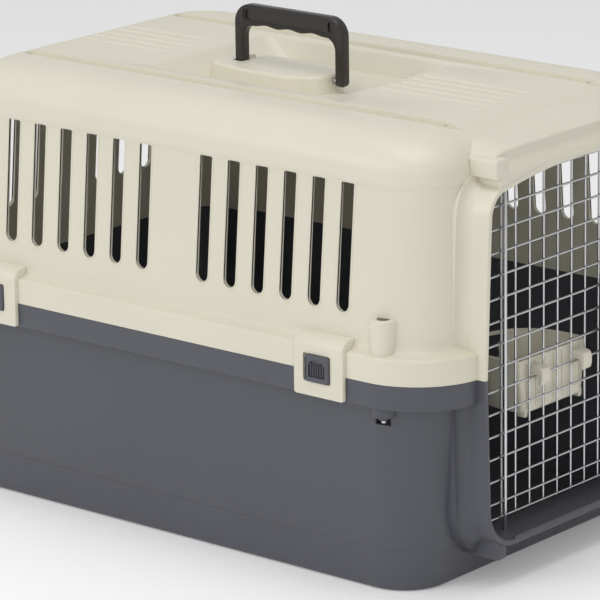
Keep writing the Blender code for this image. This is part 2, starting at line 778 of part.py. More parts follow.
def latch_spring():
    """The coil between the two finger pulls."""
    curve = bpy.data.curves.new("latch_spring", "CURVE")
    curve.dimensions = "3D"
    curve.bevel_depth = SPRING_WIRE
    curve.bevel_resolution = 0
    curve.use_fill_caps = True
    around = 8
    count = SPRING_TURNS * around + 1
    reach = PULL_Z - PULL_HALF_Z - GAP - SPRING_WIRE
    spline = curve.splines.new("POLY")
    spline.points.add(count - 1)
    for i, point in enumerate(spline.points):
        angle = math.tau * i / around
        z = LATCH_Z - reach + 2 * reach * i / (count - 1)
        point.co = (DOOR_X + SPRING_RADIUS * 0.7 * math.cos(angle), ROD_Y + SPRING_RADIUS * math.sin(angle), z, 1)
    obj = bpy.data.objects.new("latch_spring", curve)
    curve.materials.append(STEEL)
    PARTS.objects.link(obj)
    return obj


def handle():
    """A bail with a waved grip, drawn in the XZ plane."""
    rear, front = leg_places()
    half = LEG_WIDTH / 2
    corner = 0.022
    outline = arc((front, PIVOT_Z), half, 180, 360, 6)
    outline += arc((front + half - corner, HANDLE_TOP_Z - corner), corner, 0, 90, 5)
    outline += arc((rear - half + corner, HANDLE_TOP_Z - corner), corner, 90, 180, 5)
    outline += arc((rear, PIVOT_Z), half, 180, 360, 6)
    low = HANDLE_TOP_Z - GRIP_DEPTH
    outline += [(rear + half, low - 0.014), (rear + half + 0.003, low - 0.004)]
    start, end = rear + half + 0.010, front - half - 0.010
    steps = 6 * GRIP_WAVES
    for step in range(steps + 1):
        share = step / steps
        wave = GRIP_WAVE * math.cos(math.tau * GRIP_WAVES * share)
        arch = 0.0010 * (1 - (2 * share - 1) ** 2) + 0.0001 * share
        outline.append((start + (end - start) * share, low + wave + arch))
    outline += [(front - half - 0.003, low - 0.004), (front - half, low - 0.014)]
    bm = bmesh.new()
    put_outline(bm, "XZ", [outline], -LEG_HALF_Y, LEG_HALF_Y)
    made = new_object("handle", bm, CHARCOAL)
    bore = bmesh.new()
    blind = front + LEG_WIDTH / 2 - PIN_SHORT + 0.0008
    put_round(bore, (rear - 0.03, 0, PIVOT_Z), (blind, 0, PIVOT_Z), PIN_HOLE, 12)
    cut(made, new_object("handle_bore", bore))
    under = ((rear - 0.03, -0.03, PIVOT_Z - 0.03), (front + 0.03, 0.03, PIVOT_Z))
    corners = boxes("leg_corners", [under])
    knuckle = bmesh.new()
    put_round(knuckle, (rear - 0.04, 0, PIVOT_Z), (front + 0.04, 0, PIVOT_Z), LEG_HALF_Y, 24)
    cut(corners, new_object("leg_knuckles", knuckle))
    cut(made, corners)
    return made


def handle_pin(name, start, end):
    bm = bmesh.new()
    put_round(bm, (start, 0, PIVOT_Z), (end, 0, PIVOT_Z), PIN_RADIUS, 12)
    return new_object(name, bm, STEEL)


def slider(name, x, side):
    """A button in the plate's window, with a neck and a keeper plate in the flange's channel."""
    out = FLANGE.half
    spans = (
        (SLIDER_HALF.x, out + 0.0006, out + 0.0085, SLIDER_Z - SLIDER_HALF.z, SLIDER_Z + SLIDER_HALF.z),
        (NECK_HALF, out - 0.0050, out + 0.0010, SEAM_Z + 0.0035, SEAM_Z + 0.0170),
        (NECK_HALF + 0.006, out - 0.0060, out - 0.0036, SEAM_Z + 0.0020, SEAM_Z + 0.0190),
    )
    made = None
    for i, (half, near, far, low, high) in enumerate(spans):
        inner, outer = sorted((side * near, side * far))
        pair = [((x - half, inner, low), (x + half, outer, high))]
        if made is None:
            made = boxes(name, pair, GREY)
        else:
            join(made, boxes(f"{name}_{i}", pair))
    return made


def bolt(name, x, y):
    """A bolt with its head sunk in the upper boss."""
    made = bmesh.new()
    put_round(made, (x, y, BOSS_LOW_Z - NUT_HEIGHT - 0.003), (x, y, HEAD_Z + 0.001), BOLT_RADIUS, 12)
    obj = new_object(name, made, STEEL)
    head = bmesh.new()
    put_round(head, (x, y, HEAD_Z), (x, y, HEAD_Z + HEAD_HEIGHT), HEAD_RADIUS, 6)
    join(obj, new_object(name + "_head", head))
    return obj


def nut(name, x, y):
    made = bmesh.new()
    high = BOSS_LOW_Z - GAP
    put_round(made, (x, y, high - NUT_HEIGHT), (x, y, high), NUT_RADIUS, 6)
    obj = new_object(name, made, STEEL)
    hole = bmesh.new()
    put_round(hole, (x, y, high - NUT_HEIGHT - 0.01), (x, y, high + 0.01), BOLT_RADIUS + GAP, 12)
    cut(obj, new_object(name + "_hole", hole))
    return obj


def bowl_ring(scale, inset, z):
    """A D, straight against the door and round towards the cabin."""
    half, depth = BOWL_HALF * scale - inset, BOWL_DEPTH * scale - inset
    front = BOWL_FRONT - inset
    points = arc((front - 0.35 * depth, BOWL_Y), (0.65 * depth, half), 90, 270, 12)
    points += [(front, BOWL_Y - half), (front, BOWL_Y + half)]
    return [Vector((x, y, z)) for x, y in points]


def feeding_bowl():
    low, high = BOWL_Z
    bm = bmesh.new()
    put_loft(bm, [bowl_ring(BOWL_TAPER, 0.0, low), bowl_ring(1.0, 0.0, high)])
    bowl = new_object("feeding_bowl", bm, CREAM)
    inside = bmesh.new()
    past = 1 + (1 - BOWL_TAPER) * 0.01 / (high - low)
    put_loft(inside, [bowl_ring(BOWL_TAPER, BOWL_WALL, low + BOWL_WALL), bowl_ring(past, BOWL_WALL, high + 0.01)])
    cut(bowl, new_object("bowl_inside", inside))
    under = HOOK_WIRE_Z + WIRE_RADIUS + GAP
    for y in HOOKS_Y:
        arm = ((BOWL_FRONT - 0.002, y - HOOK_HALF, under), (HOOK_LIP_X[1], y + HOOK_HALF, under + HOOK_HEIGHT))
        lip_low = (HOOK_LIP_X[0], y - HOOK_HALF + 0.0002, HOOK_LIP_LOW_Z)
        lip = (lip_low, (HOOK_LIP_X[1] - 0.0002, y + HOOK_HALF - 0.0002, under + 0.003))
        join(bowl, boxes(f"hook_arm_{y:.3f}", [arm]))
        join(bowl, boxes(f"hook_lip_{y:.3f}", [lip]))
    return bowl


def on_axis(name, place, children):
    """An empty on a joint's axis, which carries the pieces that the joint moves."""
    empty = bpy.data.objects.new(name, None)
    empty.location = place
    PARTS.objects.link(empty)
    for child in children:
        child.parent = empty
        child.matrix_parent_inverse = Matrix.Translation(place).inverted()
    return empty


def build():
    bottom_shell()
    top = top_shell()
    grid = [door_grid(), door_grid_top(), rod("door_hinge_rod", DOOR_X, -ROD_Y, *HINGE_Z)]
    grid += [latch_housing(), latch_spring()]
    pull_end = PULL_Z + PULL_HALF_Z + GAP
    upper = [rod("upper_latch_bolt", DOOR_X, ROD_Y, LATCH_Z + pull_end, BOLT_HIGH_Z)]
    upper.append(finger_pull("upper_finger_pull", 1))
    lower = [rod("lower_latch_bolt", DOOR_X, ROD_Y, BOLT_LOW_Z, LATCH_Z - pull_end)]
    lower.append(finger_pull("lower_finger_pull", -1))
    door_axis = on_axis("door_axis", (DOOR_X, -ROD_Y, LATCH_Z), grid)
    carried = [
        on_axis("upper_bolt_axis", (DOOR_X, ROD_Y, LATCH_Z), upper),
        on_axis("lower_bolt_axis", (DOOR_X, ROD_Y, LATCH_Z), lower),
        on_axis("bowl_axis", (BOWL_FRONT, GRID_MIDDLE_Y, HOOK_WIRE_Z), [feeding_bowl()]),
    ]
    for empty in carried:
        empty.parent = door_axis
        empty.matrix_parent_inverse = Matrix.Translation(door_axis.location).inverted()

    on_top = [top]
    on_top += [handle_pin(name, start, end) for name, (start, end) in pin_spans().items()]
    for end, x in zip(("front", "rear"), BOLTS_X):
        for hand, side in (("right", -1), ("left", 1)):
            on_top.append(bolt(f"corner_bolt_{end}_{hand}", x, side * BOLT_Y))
            nut(f"corner_nut_{end}_{hand}", x, side * BOLT_Y)
    top_axis = on_axis("top_axis", (0, 0, SEAM_Z), on_top)
    moving = [on_axis("handle_axis", (HANDLE_X, 0, PIVOT_Z), [handle()])]
    for end, x in zip(("front", "rear"), PLATES_X):
        for hand, side in (("right", -1), ("left", 1)):
            button = slider(f"latch_slider_{end}_{hand}", x, side)
            moving.append(on_axis(f"slider_axis_{end}_{hand}", (x, side * FLANGE.half, SLIDER_Z), [button]))
    for empty in moving:
        empty.parent = top_axis
        empty.matrix_parent_inverse = Matrix.Translation(top_axis.location).inverted()


build()
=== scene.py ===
# %% [markdown]
# # A two-part pet transport carrier
# The carrier is two plastic tubs, a cream one on a grey one, with a wire door, a folding handle, slide
# latches on the long sides and a bowl that hangs inside the door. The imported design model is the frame:
# every piece here goes where that model says and rides on one of its bodies.

import math
from collections import namedtuple

import bmesh
import bpy
from mathutils import Matrix, Vector


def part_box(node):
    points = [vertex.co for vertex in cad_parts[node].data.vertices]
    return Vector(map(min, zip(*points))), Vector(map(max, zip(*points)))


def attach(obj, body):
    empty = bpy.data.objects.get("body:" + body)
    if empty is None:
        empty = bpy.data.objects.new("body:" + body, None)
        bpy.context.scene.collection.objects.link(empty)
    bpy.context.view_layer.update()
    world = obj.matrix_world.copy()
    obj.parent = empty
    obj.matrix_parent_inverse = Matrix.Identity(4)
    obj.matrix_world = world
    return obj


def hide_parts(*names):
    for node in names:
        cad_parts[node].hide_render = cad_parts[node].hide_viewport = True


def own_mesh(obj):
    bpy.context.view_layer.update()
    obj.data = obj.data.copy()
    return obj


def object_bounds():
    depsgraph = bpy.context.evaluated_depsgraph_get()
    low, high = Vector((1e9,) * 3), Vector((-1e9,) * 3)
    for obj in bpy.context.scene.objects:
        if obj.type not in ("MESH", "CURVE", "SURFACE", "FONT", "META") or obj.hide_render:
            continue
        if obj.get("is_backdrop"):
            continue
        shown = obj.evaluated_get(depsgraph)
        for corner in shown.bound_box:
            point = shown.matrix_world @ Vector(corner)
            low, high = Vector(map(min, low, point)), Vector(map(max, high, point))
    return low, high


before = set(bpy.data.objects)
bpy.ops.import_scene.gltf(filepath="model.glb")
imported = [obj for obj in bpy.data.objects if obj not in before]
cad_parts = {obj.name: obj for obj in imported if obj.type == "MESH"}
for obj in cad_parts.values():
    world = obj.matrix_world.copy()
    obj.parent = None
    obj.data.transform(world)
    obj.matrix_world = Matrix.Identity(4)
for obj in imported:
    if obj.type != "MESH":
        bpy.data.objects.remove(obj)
cad_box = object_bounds()


def plain(box):
    """A box, however it is nested, as plain lists of numbers."""
    if isinstance(box, dict):
        return {key: plain(value) for key, value in box.items()}
    return [round(float(v), 5) if isinstance(v, (int, float)) else plain(v) for v in box]


print("design model's box:", plain(cad_box))

# %% [markdown]
# ## The camera
# A long lens from well back keeps the carrier's lines nearly parallel. The camera stands to the right
# of the door and a little above the roof, and leans by under a degree.

# %% Camera
AZIMUTH, ELEVATION, ROLL = math.radians(40.07), math.radians(15.78), math.radians(-0.794)
level_right = Vector((math.cos(AZIMUTH), math.sin(AZIMUTH), 0))
level_up = Vector(
    (
        -math.sin(AZIMUTH) * math.sin(ELEVATION),
        math.cos(AZIMUTH) * math.sin(ELEVATION),
        math.cos(ELEVATION),
    )
)
right = level_right * math.cos(ROLL) + level_up * math.sin(ROLL)
up = level_up * math.cos(ROLL) - level_right * math.sin(ROLL)
turn = Matrix((right, up, right.cross(up))).transposed().to_4x4()
lens = bpy.data.cameras.new("camera")
lens.lens, lens.sensor_width = 247.08, 36.0
camera = bpy.data.objects.new("camera", lens)
bpy.context.scene.collection.objects.link(camera)
camera.matrix_world = Matrix.Translation((2.9176, -3.4879, 1.5113)) @ turn
bpy.context.scene.camera = camera
print("camera at", tuple(round(v, 3) for v in camera.location))

# %% [markdown]
# ## Floor and light
# A pale floor and a white room stand in for a plain studio. One broad lamp from the left gives
# the long side its even light, a smaller one from above lifts the roof, and a weak one by the camera
# lights the front corner. The room lights the carrier less than it shows itself, and the floor glows a
# little, so both stay pale while the plastics keep their depth.


# %% Floor, room and lamps
def lamp(name, place, aim, size, power):
    light = bpy.data.lights.new(name, "AREA")
    light.shape, light.size, light.energy = "DISK", size, power
    obj = bpy.data.objects.new(name, light)
    bpy.context.scene.collection.objects.link(obj)
    direction = Vector(aim) - Vector(place)
    look = direction.to_track_quat("-Z", "Y").to_matrix().to_4x4()
    obj.matrix_world = Matrix.Translation(place) @ look
    return obj


AIM = (0.0, 0.0, 0.25)
lamp("side_lamp", (-1.2, -3.2, 1.9), AIM, 2.2, 26)
lamp("top_lamp", (0.3, -0.4, 3.0), AIM, 2.0, 26)
lamp("corner_lamp", (2.5, -2.3, 1.5), AIM, 1.2, 9.5)

room = bpy.data.worlds.new("room")
room.use_nodes = True
sky = room.node_tree.nodes["Background"]
sky.inputs["Color"].default_value = (1.0, 1.0, 1.0, 1.0)
rays = room.node_tree.nodes.new("ShaderNodeLightPath")
level = room.node_tree.nodes.new("ShaderNodeMapRange")
level.inputs["To Min"].default_value = 0.54
level.inputs["To Max"].default_value = 1.0
room.node_tree.links.new(rays.outputs["Is Camera Ray"], level.inputs["Value"])
room.node_tree.links.new(level.outputs["Result"], sky.inputs["Strength"])
bpy.context.scene.world = room
bpy.context.scene.view_settings.view_transform = "Standard"

floor_mesh = bmesh.new()
bmesh.ops.create_grid(floor_mesh, x_segments=1, y_segments=1, size=9.0)
floor_data = bpy.data.meshes.new("floor")
floor_mesh.to_mesh(floor_data)
floor_mesh.free()
floor = bpy.data.objects.new("floor", floor_data)
bpy.context.scene.collection.objects.link(floor)
floor.location.z = -0.0005
paint = bpy.data.materials.new("floor_paint")
paint.use_nodes = True
floor_look = paint.node_tree.nodes["Principled BSDF"]
floor_look.inputs["Base Color"].default_value = (0.95, 0.95, 0.95, 1)
floor_look.inputs["Roughness"].default_value = 0.6
floor_look.inputs["Emission Color"].default_value = (1, 1, 1, 1)
floor_look.inputs["Emission Strength"].default_value = 0.14
floor_data.materials.append(paint)
floor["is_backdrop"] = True

# %% [markdown]
# ## Finishes
# Each plastic is a satin moulding: one colour with a faint cloudiness, a fine eroded grain that breaks
# up the highlight, and gloss that differs a little from place to place. Three noise textures at three
# sizes give that. A bevel node rounds the shading at edges by less than a millimetre, as a mould's
# corners do.


# %% One recipe for moulded plastic
def link(tree, source, output, target, socket):
    tree.links.new(source.outputs[output], target.inputs[socket])


def noise(tree, scale, detail=2.0):
    """A noise texture on the piece's own coordinates, so it rides along with the piece."""
    place = tree.nodes.new("ShaderNodeTexCoord")
    texture = tree.nodes.new("ShaderNodeTexNoise")
    texture.inputs["Scale"].default_value = scale
    texture.inputs["Detail"].default_value = detail
    link(tree, place, "Object", texture, "Vector")
    return texture


def spread(tree, texture, low, high):
    """The texture's values, moved to lie between low and high."""
    node = tree.nodes.new("ShaderNodeMapRange")
    node.inputs["From Min"].default_value = 0.3
    node.inputs["From Max"].default_value = 0.7
    node.inputs["To Min"].default_value = low
    node.inputs["To Max"].default_value = high
    link(tree, texture, "Fac", node, "Value")
    return node


def tinted(tree, texture, colour, amount):
    """A colour that gets a little lighter and darker with the texture."""
    mix = tree.nodes.new("ShaderNodeMix")
    mix.data_type = "RGBA"
    for socket, share in (("A", 1 - amount), ("B", 1 + amount)):
        value = (*[min(1.0, c * share) for c in colour], 1.0)
        [s for s in mix.inputs if s.name == socket and s.type == "RGBA"][0].default_value = value
    link(tree, texture, "Fac", mix, "Factor")
    return [s for s in mix.outputs if s.type == "RGBA"][0]


def plastic(name, colour, gloss, grain=0.10, grain_size=1500.0, round_edge=0.0007, milky=0.0):
    made = bpy.data.materials.new(name)
    made.use_nodes = True
    tree = made.node_tree
    shader = tree.nodes["Principled BSDF"]
    tree.links.new(tinted(tree, noise(tree, 7.0), colour, 0.035), shader.inputs["Base Color"])
    cloudy = spread(tree, noise(tree, 60.0, 4.0), gloss - 0.05, gloss + 0.06)
    link(tree, cloudy, "Result", shader, "Roughness")
    edge = tree.nodes.new("ShaderNodeBevel")
    edge.samples = 3
    edge.inputs["Radius"].default_value = round_edge
    bump = tree.nodes.new("ShaderNodeBump")
    bump.inputs["Strength"].default_value = grain
    bump.inputs["Distance"].default_value = 0.0002
    link(tree, noise(tree, grain_size, 3.0), "Fac", bump, "Height")
    link(tree, edge, "Normal", bump, "Normal")
    link(tree, bump, "Normal", shader, "Normal")
    shader.inputs["Specular IOR Level"].default_value = 0.42
    if milky:
        shader.inputs["Subsurface Weight"].default_value = milky
        shader.inputs["Subsurface Radius"].default_value = (0.004, 0.003, 0.002)
    return made


CREAM = plastic("cream_plastic", (0.715, 0.682, 0.565), 0.36, milky=0.12)
SLATE = plastic("slate_plastic", (0.083, 0.086, 0.101), 0.40, grain=0.16)
CHARCOAL = plastic("charcoal_plastic", (0.030, 0.026, 0.025), 0.22, grain=0.06)
print("plastics:", CREAM.name, SLATE.name, CHARCOAL.name)

# %% [markdown]
# The door's wires are drawn steel with bright zinc on them, and the screws and pins have a duller
# plate. Both are metals whose gloss has a fine streak, so the noise is stretched along the length by a
# Mapping node.


# %% One recipe for plated steel
def plated(name, colour, gloss, stretch):
    made = bpy.data.materials.new(name)
    made.use_nodes = True
    tree = made.node_tree
    shader = tree.nodes["Principled BSDF"]
    shader.inputs["Metallic"].default_value = 1.0
    texture = noise(tree, 300.0, 4.0)
    along = tree.nodes.new("ShaderNodeMapping")
    along.inputs["Scale"].default_value = stretch
    link(tree, [n for n in tree.nodes if n.type == "TEX_COORD"][0], "Object", along, "Vector")
    link(tree, along, "Vector", texture, "Vector")
    link(tree, spread(tree, texture, gloss - 0.06, gloss + 0.10), "Result", shader, "Roughness")
    tree.links.new(tinted(tree, noise(tree, 90.0), colour, 0.06), shader.inputs["Base Color"])
    bump = tree.nodes.new("ShaderNodeBump")
    bump.inputs["Strength"].default_value = 0.08
    bump.inputs["Distance"].default_value = 0.0001
    link(tree, texture, "Fac", bump, "Height")
    link(tree, bump, "Normal", shader, "Normal")
    return made


ZINC = plated("zinc_wire", (0.62, 0.63, 0.65), 0.16, (1.0, 1.0, 0.25))
STEEL = plated("plated_steel", (0.60, 0.61, 0.62), 0.32, (1.0, 1.0, 1.0))
print("metals:", ZINC.name, STEEL.name)

# %% [markdown]
# ## Tools for shaping
# A moulded tub is a stack of levels: at each height a rectangle with round corners. Lofting through the
# levels gives drafts, ledges and a rounded roof from a few numbers. Lids, windows and sockets are then
# joined on or cut out with exact Booleans, as the mould's inserts do. Each helper returns a plain mesh
# object at the origin.

# %% Meshes and modifiers
Level = namedtuple("Level", "z half rear front radius")


def new_piece(name, bm, look=None):
    bmesh.ops.remove_doubles(bm, verts=bm.verts, dist=1e-6)
    bmesh.ops.recalc_face_normals(bm, faces=bm.faces)
    mesh = bpy.data.meshes.new(name)
    bm.to_mesh(mesh)
    bm.free()
    obj = bpy.data.objects.new(name, mesh)
    bpy.context.scene.collection.objects.link(obj)
    if look:
        mesh.materials.append(look)
    return obj


def freeze(obj):
    """Makes what the object's modifiers show its own mesh, and removes them."""
    graph = bpy.context.evaluated_depsgraph_get()
    mesh = bpy.data.meshes.new_from_object(obj.evaluated_get(graph))
    obj.modifiers.clear()
    old, obj.data = obj.data, mesh
    bpy.data.meshes.remove(old)
    return obj


def boolean(target, tools, operation):
    for tool in tools:
        change = target.modifiers.new("boolean", "BOOLEAN")
        change.operation, change.object, change.solver = operation, tool, "EXACT"
        change.material_mode = "INDEX"
    freeze(target)
    for tool in tools:
        bpy.data.objects.remove(tool)
    return target


def cut(target, *tools):
    return boolean(target, tools, "DIFFERENCE")


def join(target, *tools):
    return boolean(target, tools, "UNION")


def soften(obj, width, segments=2, angle=35):
    """Rounds every edge that turns more than the angle."""
    bevel = obj.modifiers.new("soften", "BEVEL")
    bevel.width, bevel.segments, bevel.limit_method = width, segments, "ANGLE"
    bevel.angle_limit = math.radians(angle)
    return freeze(obj)


def smooth(obj, angle=32):
    obj.data.shade_smooth()
    obj.data.set_sharp_from_angle(angle=math.radians(angle))
    return obj


# %% [markdown]
# Three shapes make nearly everything: a loft through rings of points, a prism on a flat outline, and a
# round bar. The loft's sides are split into triangles, because a twisted four-sided face would leave a
# gap when it is cut.


# %% Lofts, prisms and bars
def put_loft(bm, rings):
    made = [[bm.verts.new(point) for point in ring] for ring in rings]
    sides = []
    for lower, upper in zip(made, made[1:]):
        for i in range(len(lower)):
            j = (i + 1) % len(lower)
            sides.append(bm.faces.new((lower[i], lower[j], upper[j], upper[i])))
    bmesh.ops.triangulate(bm, faces=sides)
    bm.faces.new(reversed(made[0]))
    bm.faces.new(made[-1])


def loft(name, rings, look=None):
    bm = bmesh.new()
    put_loft(bm, rings)
    return new_piece(name, bm, look)


IN_PLANE = {
    "XY": lambda a, b, t: Vector((a, b, t)),
    "XZ": lambda a, b, t: Vector((a, t, b)),
    "YZ": lambda a, b, t: Vector((t, a, b)),
}


def prism(name, plane, outline, low, high, look=None):
    """A flat outline, given thickness from low to high across its plane."""
    place = IN_PLANE[plane]
    bm = bmesh.new()
    rings = [[bm.verts.new(place(a, b, t)) for a, b in outline] for t in (low, high)]
    bm.faces.new(reversed(rings[0]))
    bm.faces.new(rings[1])
    for i in range(len(outline)):
        j = (i + 1) % len(outline)
        bm.faces.new((rings[0][i], rings[0][j], rings[1][j], rings[1][i]))
    return new_piece(name, bm, look)


def block(name, low, high, look=None):
    (x0, y0, z0), (x1, y1, z1) = low, high
    return prism(name, "XY", [(x0, y0), (x1, y0), (x1, y1), (x0, y1)], z0, z1, look)


def bar(name, start, end, radius, look=None, segments=24):
    start, end = Vector(start), Vector(end)
    bm = bmesh.new()
    bmesh.ops.create_cone(
        bm,
        cap_ends=True,
        segments=segments,
        radius1=radius,
        radius2=radius,
        depth=(end - start).length,
        matrix=Matrix.Translation((start + end) / 2)
        @ (end - start).to_track_quat("Z", "Y").to_matrix().to_4x4(),
    )
    return new_piece(name, bm, look)


def arc(centre, radius, start, end, steps):
    """Points from one angle to another, in degrees. The radius is one number, or one along each axis."""
    rx, ry = (radius, radius) if isinstance(radius, float) else radius
    angles = [math.radians(start + (end - start) * i / steps) for i in range(steps + 1)]
    return [(centre[0] + rx * math.cos(a), centre[1] + ry * math.sin(a)) for a in angles]


def round_box(low, high, radius, steps=6):
    """A flat rectangle's outline with round corners."""
    (a0, b0), (a1, b1) = low, high
    r = radius
    points = arc((a1 - r, b1 - r), r, 0, 90, steps) + arc((a0 + r, b1 - r), r, 90, 180, steps)
    return points + arc((a0 + r, b0 + r), r, 180, 270, steps) + arc((a1 - r, b0 + r), r, 270, 360, steps)


CORNER_STEPS = 16


def ring(level):
    low, high = (level.rear, -level.half), (level.front, level.half)
    return [Vector((x, y, level.z)) for x, y in round_box(low, high, level.radius, CORNER_STEPS)]


def grown(level, by, z):
    """The level moved out by a distance, or in where it is negative, at another height."""
    return Level(z, level.half + by, level.rear - by, level.front + by, level.radius + by)


def between(a, b, share, z):
    mixed = [p + (q - p) * share for p, q in zip(a, b)]
    return Level(z, *mixed[1:])


# %% [markdown]
# ## Rows of copies, with Geometry Nodes
# Vents, their rims, the fine roof grooves and the ribs on the buttons all repeat along a straight line.
# One node tree does it for any piece: it puts a copy of the piece's own mesh on each point of a line.
# The count and the step are inputs, so a row changes with two numbers. Realize Instances turns the
# copies into one mesh.


# %% The row tree
def new_tree(name, inputs):
    tree = bpy.data.node_groups.new(name, "GeometryNodeTree")
    tree.interface.new_socket("Geometry", in_out="INPUT", socket_type="NodeSocketGeometry")
    for label, kind in inputs:
        tree.interface.new_socket(label, in_out="INPUT", socket_type=kind)
    tree.interface.new_socket("Geometry", in_out="OUTPUT", socket_type="NodeSocketGeometry")
    return tree, tree.nodes.new("NodeGroupInput"), tree.nodes.new("NodeGroupOutput")


def end_tree(tree, source, given, result):
    """Every tree ends the same way: real mesh, then the finish."""
    real = tree.nodes.new("GeometryNodeRealizeInstances")
    finish = tree.nodes.new("GeometryNodeSetMaterial")
    tree.links.new(source, real.inputs["Geometry"])
    link(tree, real, "Geometry", finish, "Geometry")
    link(tree, given, "Finish", finish, "Material")
    link(tree, finish, "Geometry", result, "Geometry")


def run_tree(obj, tree, values):
    """Gives the object the tree with these inputs, and keeps the result as its mesh."""
    change = obj.modifiers.new(tree.name, "NODES")
    change.node_group = tree
    for item in tree.interface.items_tree:
        if item.in_out == "INPUT" and item.name in values:
            change[item.identifier] = values[item.name]
    freeze(obj)
    if "Finish" in values:
        obj.data.materials.clear()
        obj.data.materials.append(values["Finish"])
        for face in obj.data.polygons:
            face.material_index = 0
    return obj


ROW, given, result = new_tree(
    "row_of_copies",
    [("Count", "NodeSocketInt"), ("Step", "NodeSocketVector"), ("Finish", "NodeSocketMaterial")],
)
line = ROW.nodes.new("GeometryNodeMeshLine")
copies = ROW.nodes.new("GeometryNodeInstanceOnPoints")
link(ROW, given, "Count", line, "Count")
link(ROW, given, "Step", line, "Offset")
link(ROW, line, "Mesh", copies, "Points")
link(ROW, given, "Geometry", copies, "Instance")
end_tree(ROW, copies.outputs["Instances"], given, result)


def in_a_row(piece, count, step, look=None):
    values = {"Count": count, "Step": step}
    if look:
        values["Finish"] = look
    return run_tree(piece, ROW, values)


print("tree:", ROW.name, "with", len(ROW.nodes), "nodes")

# %% [markdown]
# ## The measures that both shells share
# The flange runs right round at the seam. Above it the cream wall leans in by five degrees up to a
# faint shoulder, and below it the grey wall leans in to a skirt near the floor.

# %% Shell measures
SEAM_Z, ROOF_Z, WALL = 0.240, 0.500, 0.003
SIDES = (-1, 1)
FLANGE = Level(SEAM_Z, 0.250, -0.3825, 0.3725, 0.088)
FLANGE_TOP_Z, FLANGE_LOW_Z, FLANGE_SKIN = 0.2665, 0.213, 0.0032
WALL_FOOT = Level(0.2755, 0.2345, -0.367, 0.351, 0.0735)
WALL_TOP = Level(0.446, 0.2195, -0.352, 0.346, 0.066)
SHOULDER = Level(0.460, 0.2215, -0.354, 0.346, 0.068)
COLLAR_FRONT = 0.3825
COLLAR_WALL = 0.006
SIDE_LEAN = (WALL_FOOT.half - WALL_TOP.half) / (WALL_TOP.z - WALL_FOOT.z)
GAP = 0.0003


def side_wall(z):
    """How far out the long side's face is at a height."""
    return WALL_FOOT.half - SIDE_LEAN * (z - WALL_FOOT.z)


def rear_wall(z):
    share = (z - WALL_FOOT.z) / (WALL_TOP.z - WALL_FOOT.z)
    return WALL_FOOT.rear + (WALL_TOP.rear - WALL_FOOT.rear) * share


print(f"side wall leans {math.degrees(math.atan(SIDE_LEAN)):.1f} degrees")

# %% [markdown]
# The door opening has big round lower corners, tighter upper ones and a slightly arched top. One
# outline draws it, and the same outline grown outwards draws the collar that stands round it.


# %% The door opening's outline
def opening(grow=0.0):
    points = arc((0.119, 0.092), 0.042 + grow, -90, 0, 12)
    points.append((0.166 + grow, SEAM_Z))
    corner = arc((0.134, 0.412), (0.0245 + grow, 0.0285 + grow), 0, 90, 12)
    points += corner[:-1]
    spring = corner[-1]
    points += [(spring[0] * s, spring[1] + 0.012 * (1 - s * s)) for s in (1, 0.8, 0.6, 0.4, 0.2)]
    return points + [(0.0, spring[1] + 0.012)] + [(-y, z) for y, z in reversed(points)]


def opening_ring(x, grow):
    return [Vector((x, y, z)) for y, z in opening(grow)]


def collar(name, back):
    """The collar, with a soft root on the wall and a rounded lip."""
    fillet, tangent = 0.013, 0.3620
    rings = [opening_ring(back, COLLAR_WALL + fillet)]
    for i in range(7):
        angle = math.radians(90) * i / 6
        grow = COLLAR_WALL + fillet * (1 - math.sin(angle))
        rings.append(opening_ring(tangent - fillet * math.cos(angle), grow))
    lip = 0.0016
    for i in range(4):
        angle = math.radians(90) * i / 3
        grow = COLLAR_WALL - lip * (1 - math.cos(angle))
        rings.append(opening_ring(COLLAR_FRONT - lip + lip * math.sin(angle), grow))
    return loft(name, rings)


def doorway(name, back):
    """What is cut for the door, opened a little at the lip so that the rim is rounded on both sides."""
    lip = 0.0014
    rings = [opening_ring(back, 0.0), opening_ring(COLLAR_FRONT - lip, 0.0)]
    rings += [opening_ring(COLLAR_FRONT - lip * 0.3, lip * 0.3), opening_ring(COLLAR_FRONT, lip)]
    return loft(name, rings + [opening_ring(0.400, lip)])


print("door opening:", len(opening()), "points")

# %% [markdown]
# ## The upper shell
# The real one is a single injection moulding. Its outside is lofted here with many small levels where
# it curves: over the flange's edge, up the hollow ledge, past the shoulder and over the roof. The front
# of the roof slopes more gently than the rear, down to the brow over the door.


# %% Levels of the upper shell
def roof_levels(inset, steps):
    levels = []
    for i in range(steps + 1):
        angle = math.radians(90) * i / steps
        share = 1 - math.cos(angle)
        levels.append(
            Level(
                SHOULDER.z - inset + (ROOF_Z - SHOULDER.z) * math.sin(angle),
                SHOULDER.half - inset - 0.057 * share,
                SHOULDER.rear + inset + 0.046 * share,
                SHOULDER.front - inset - 0.066 * share,
                SHOULDER.radius - inset - 0.0314 * share,
            )
        )
    return levels


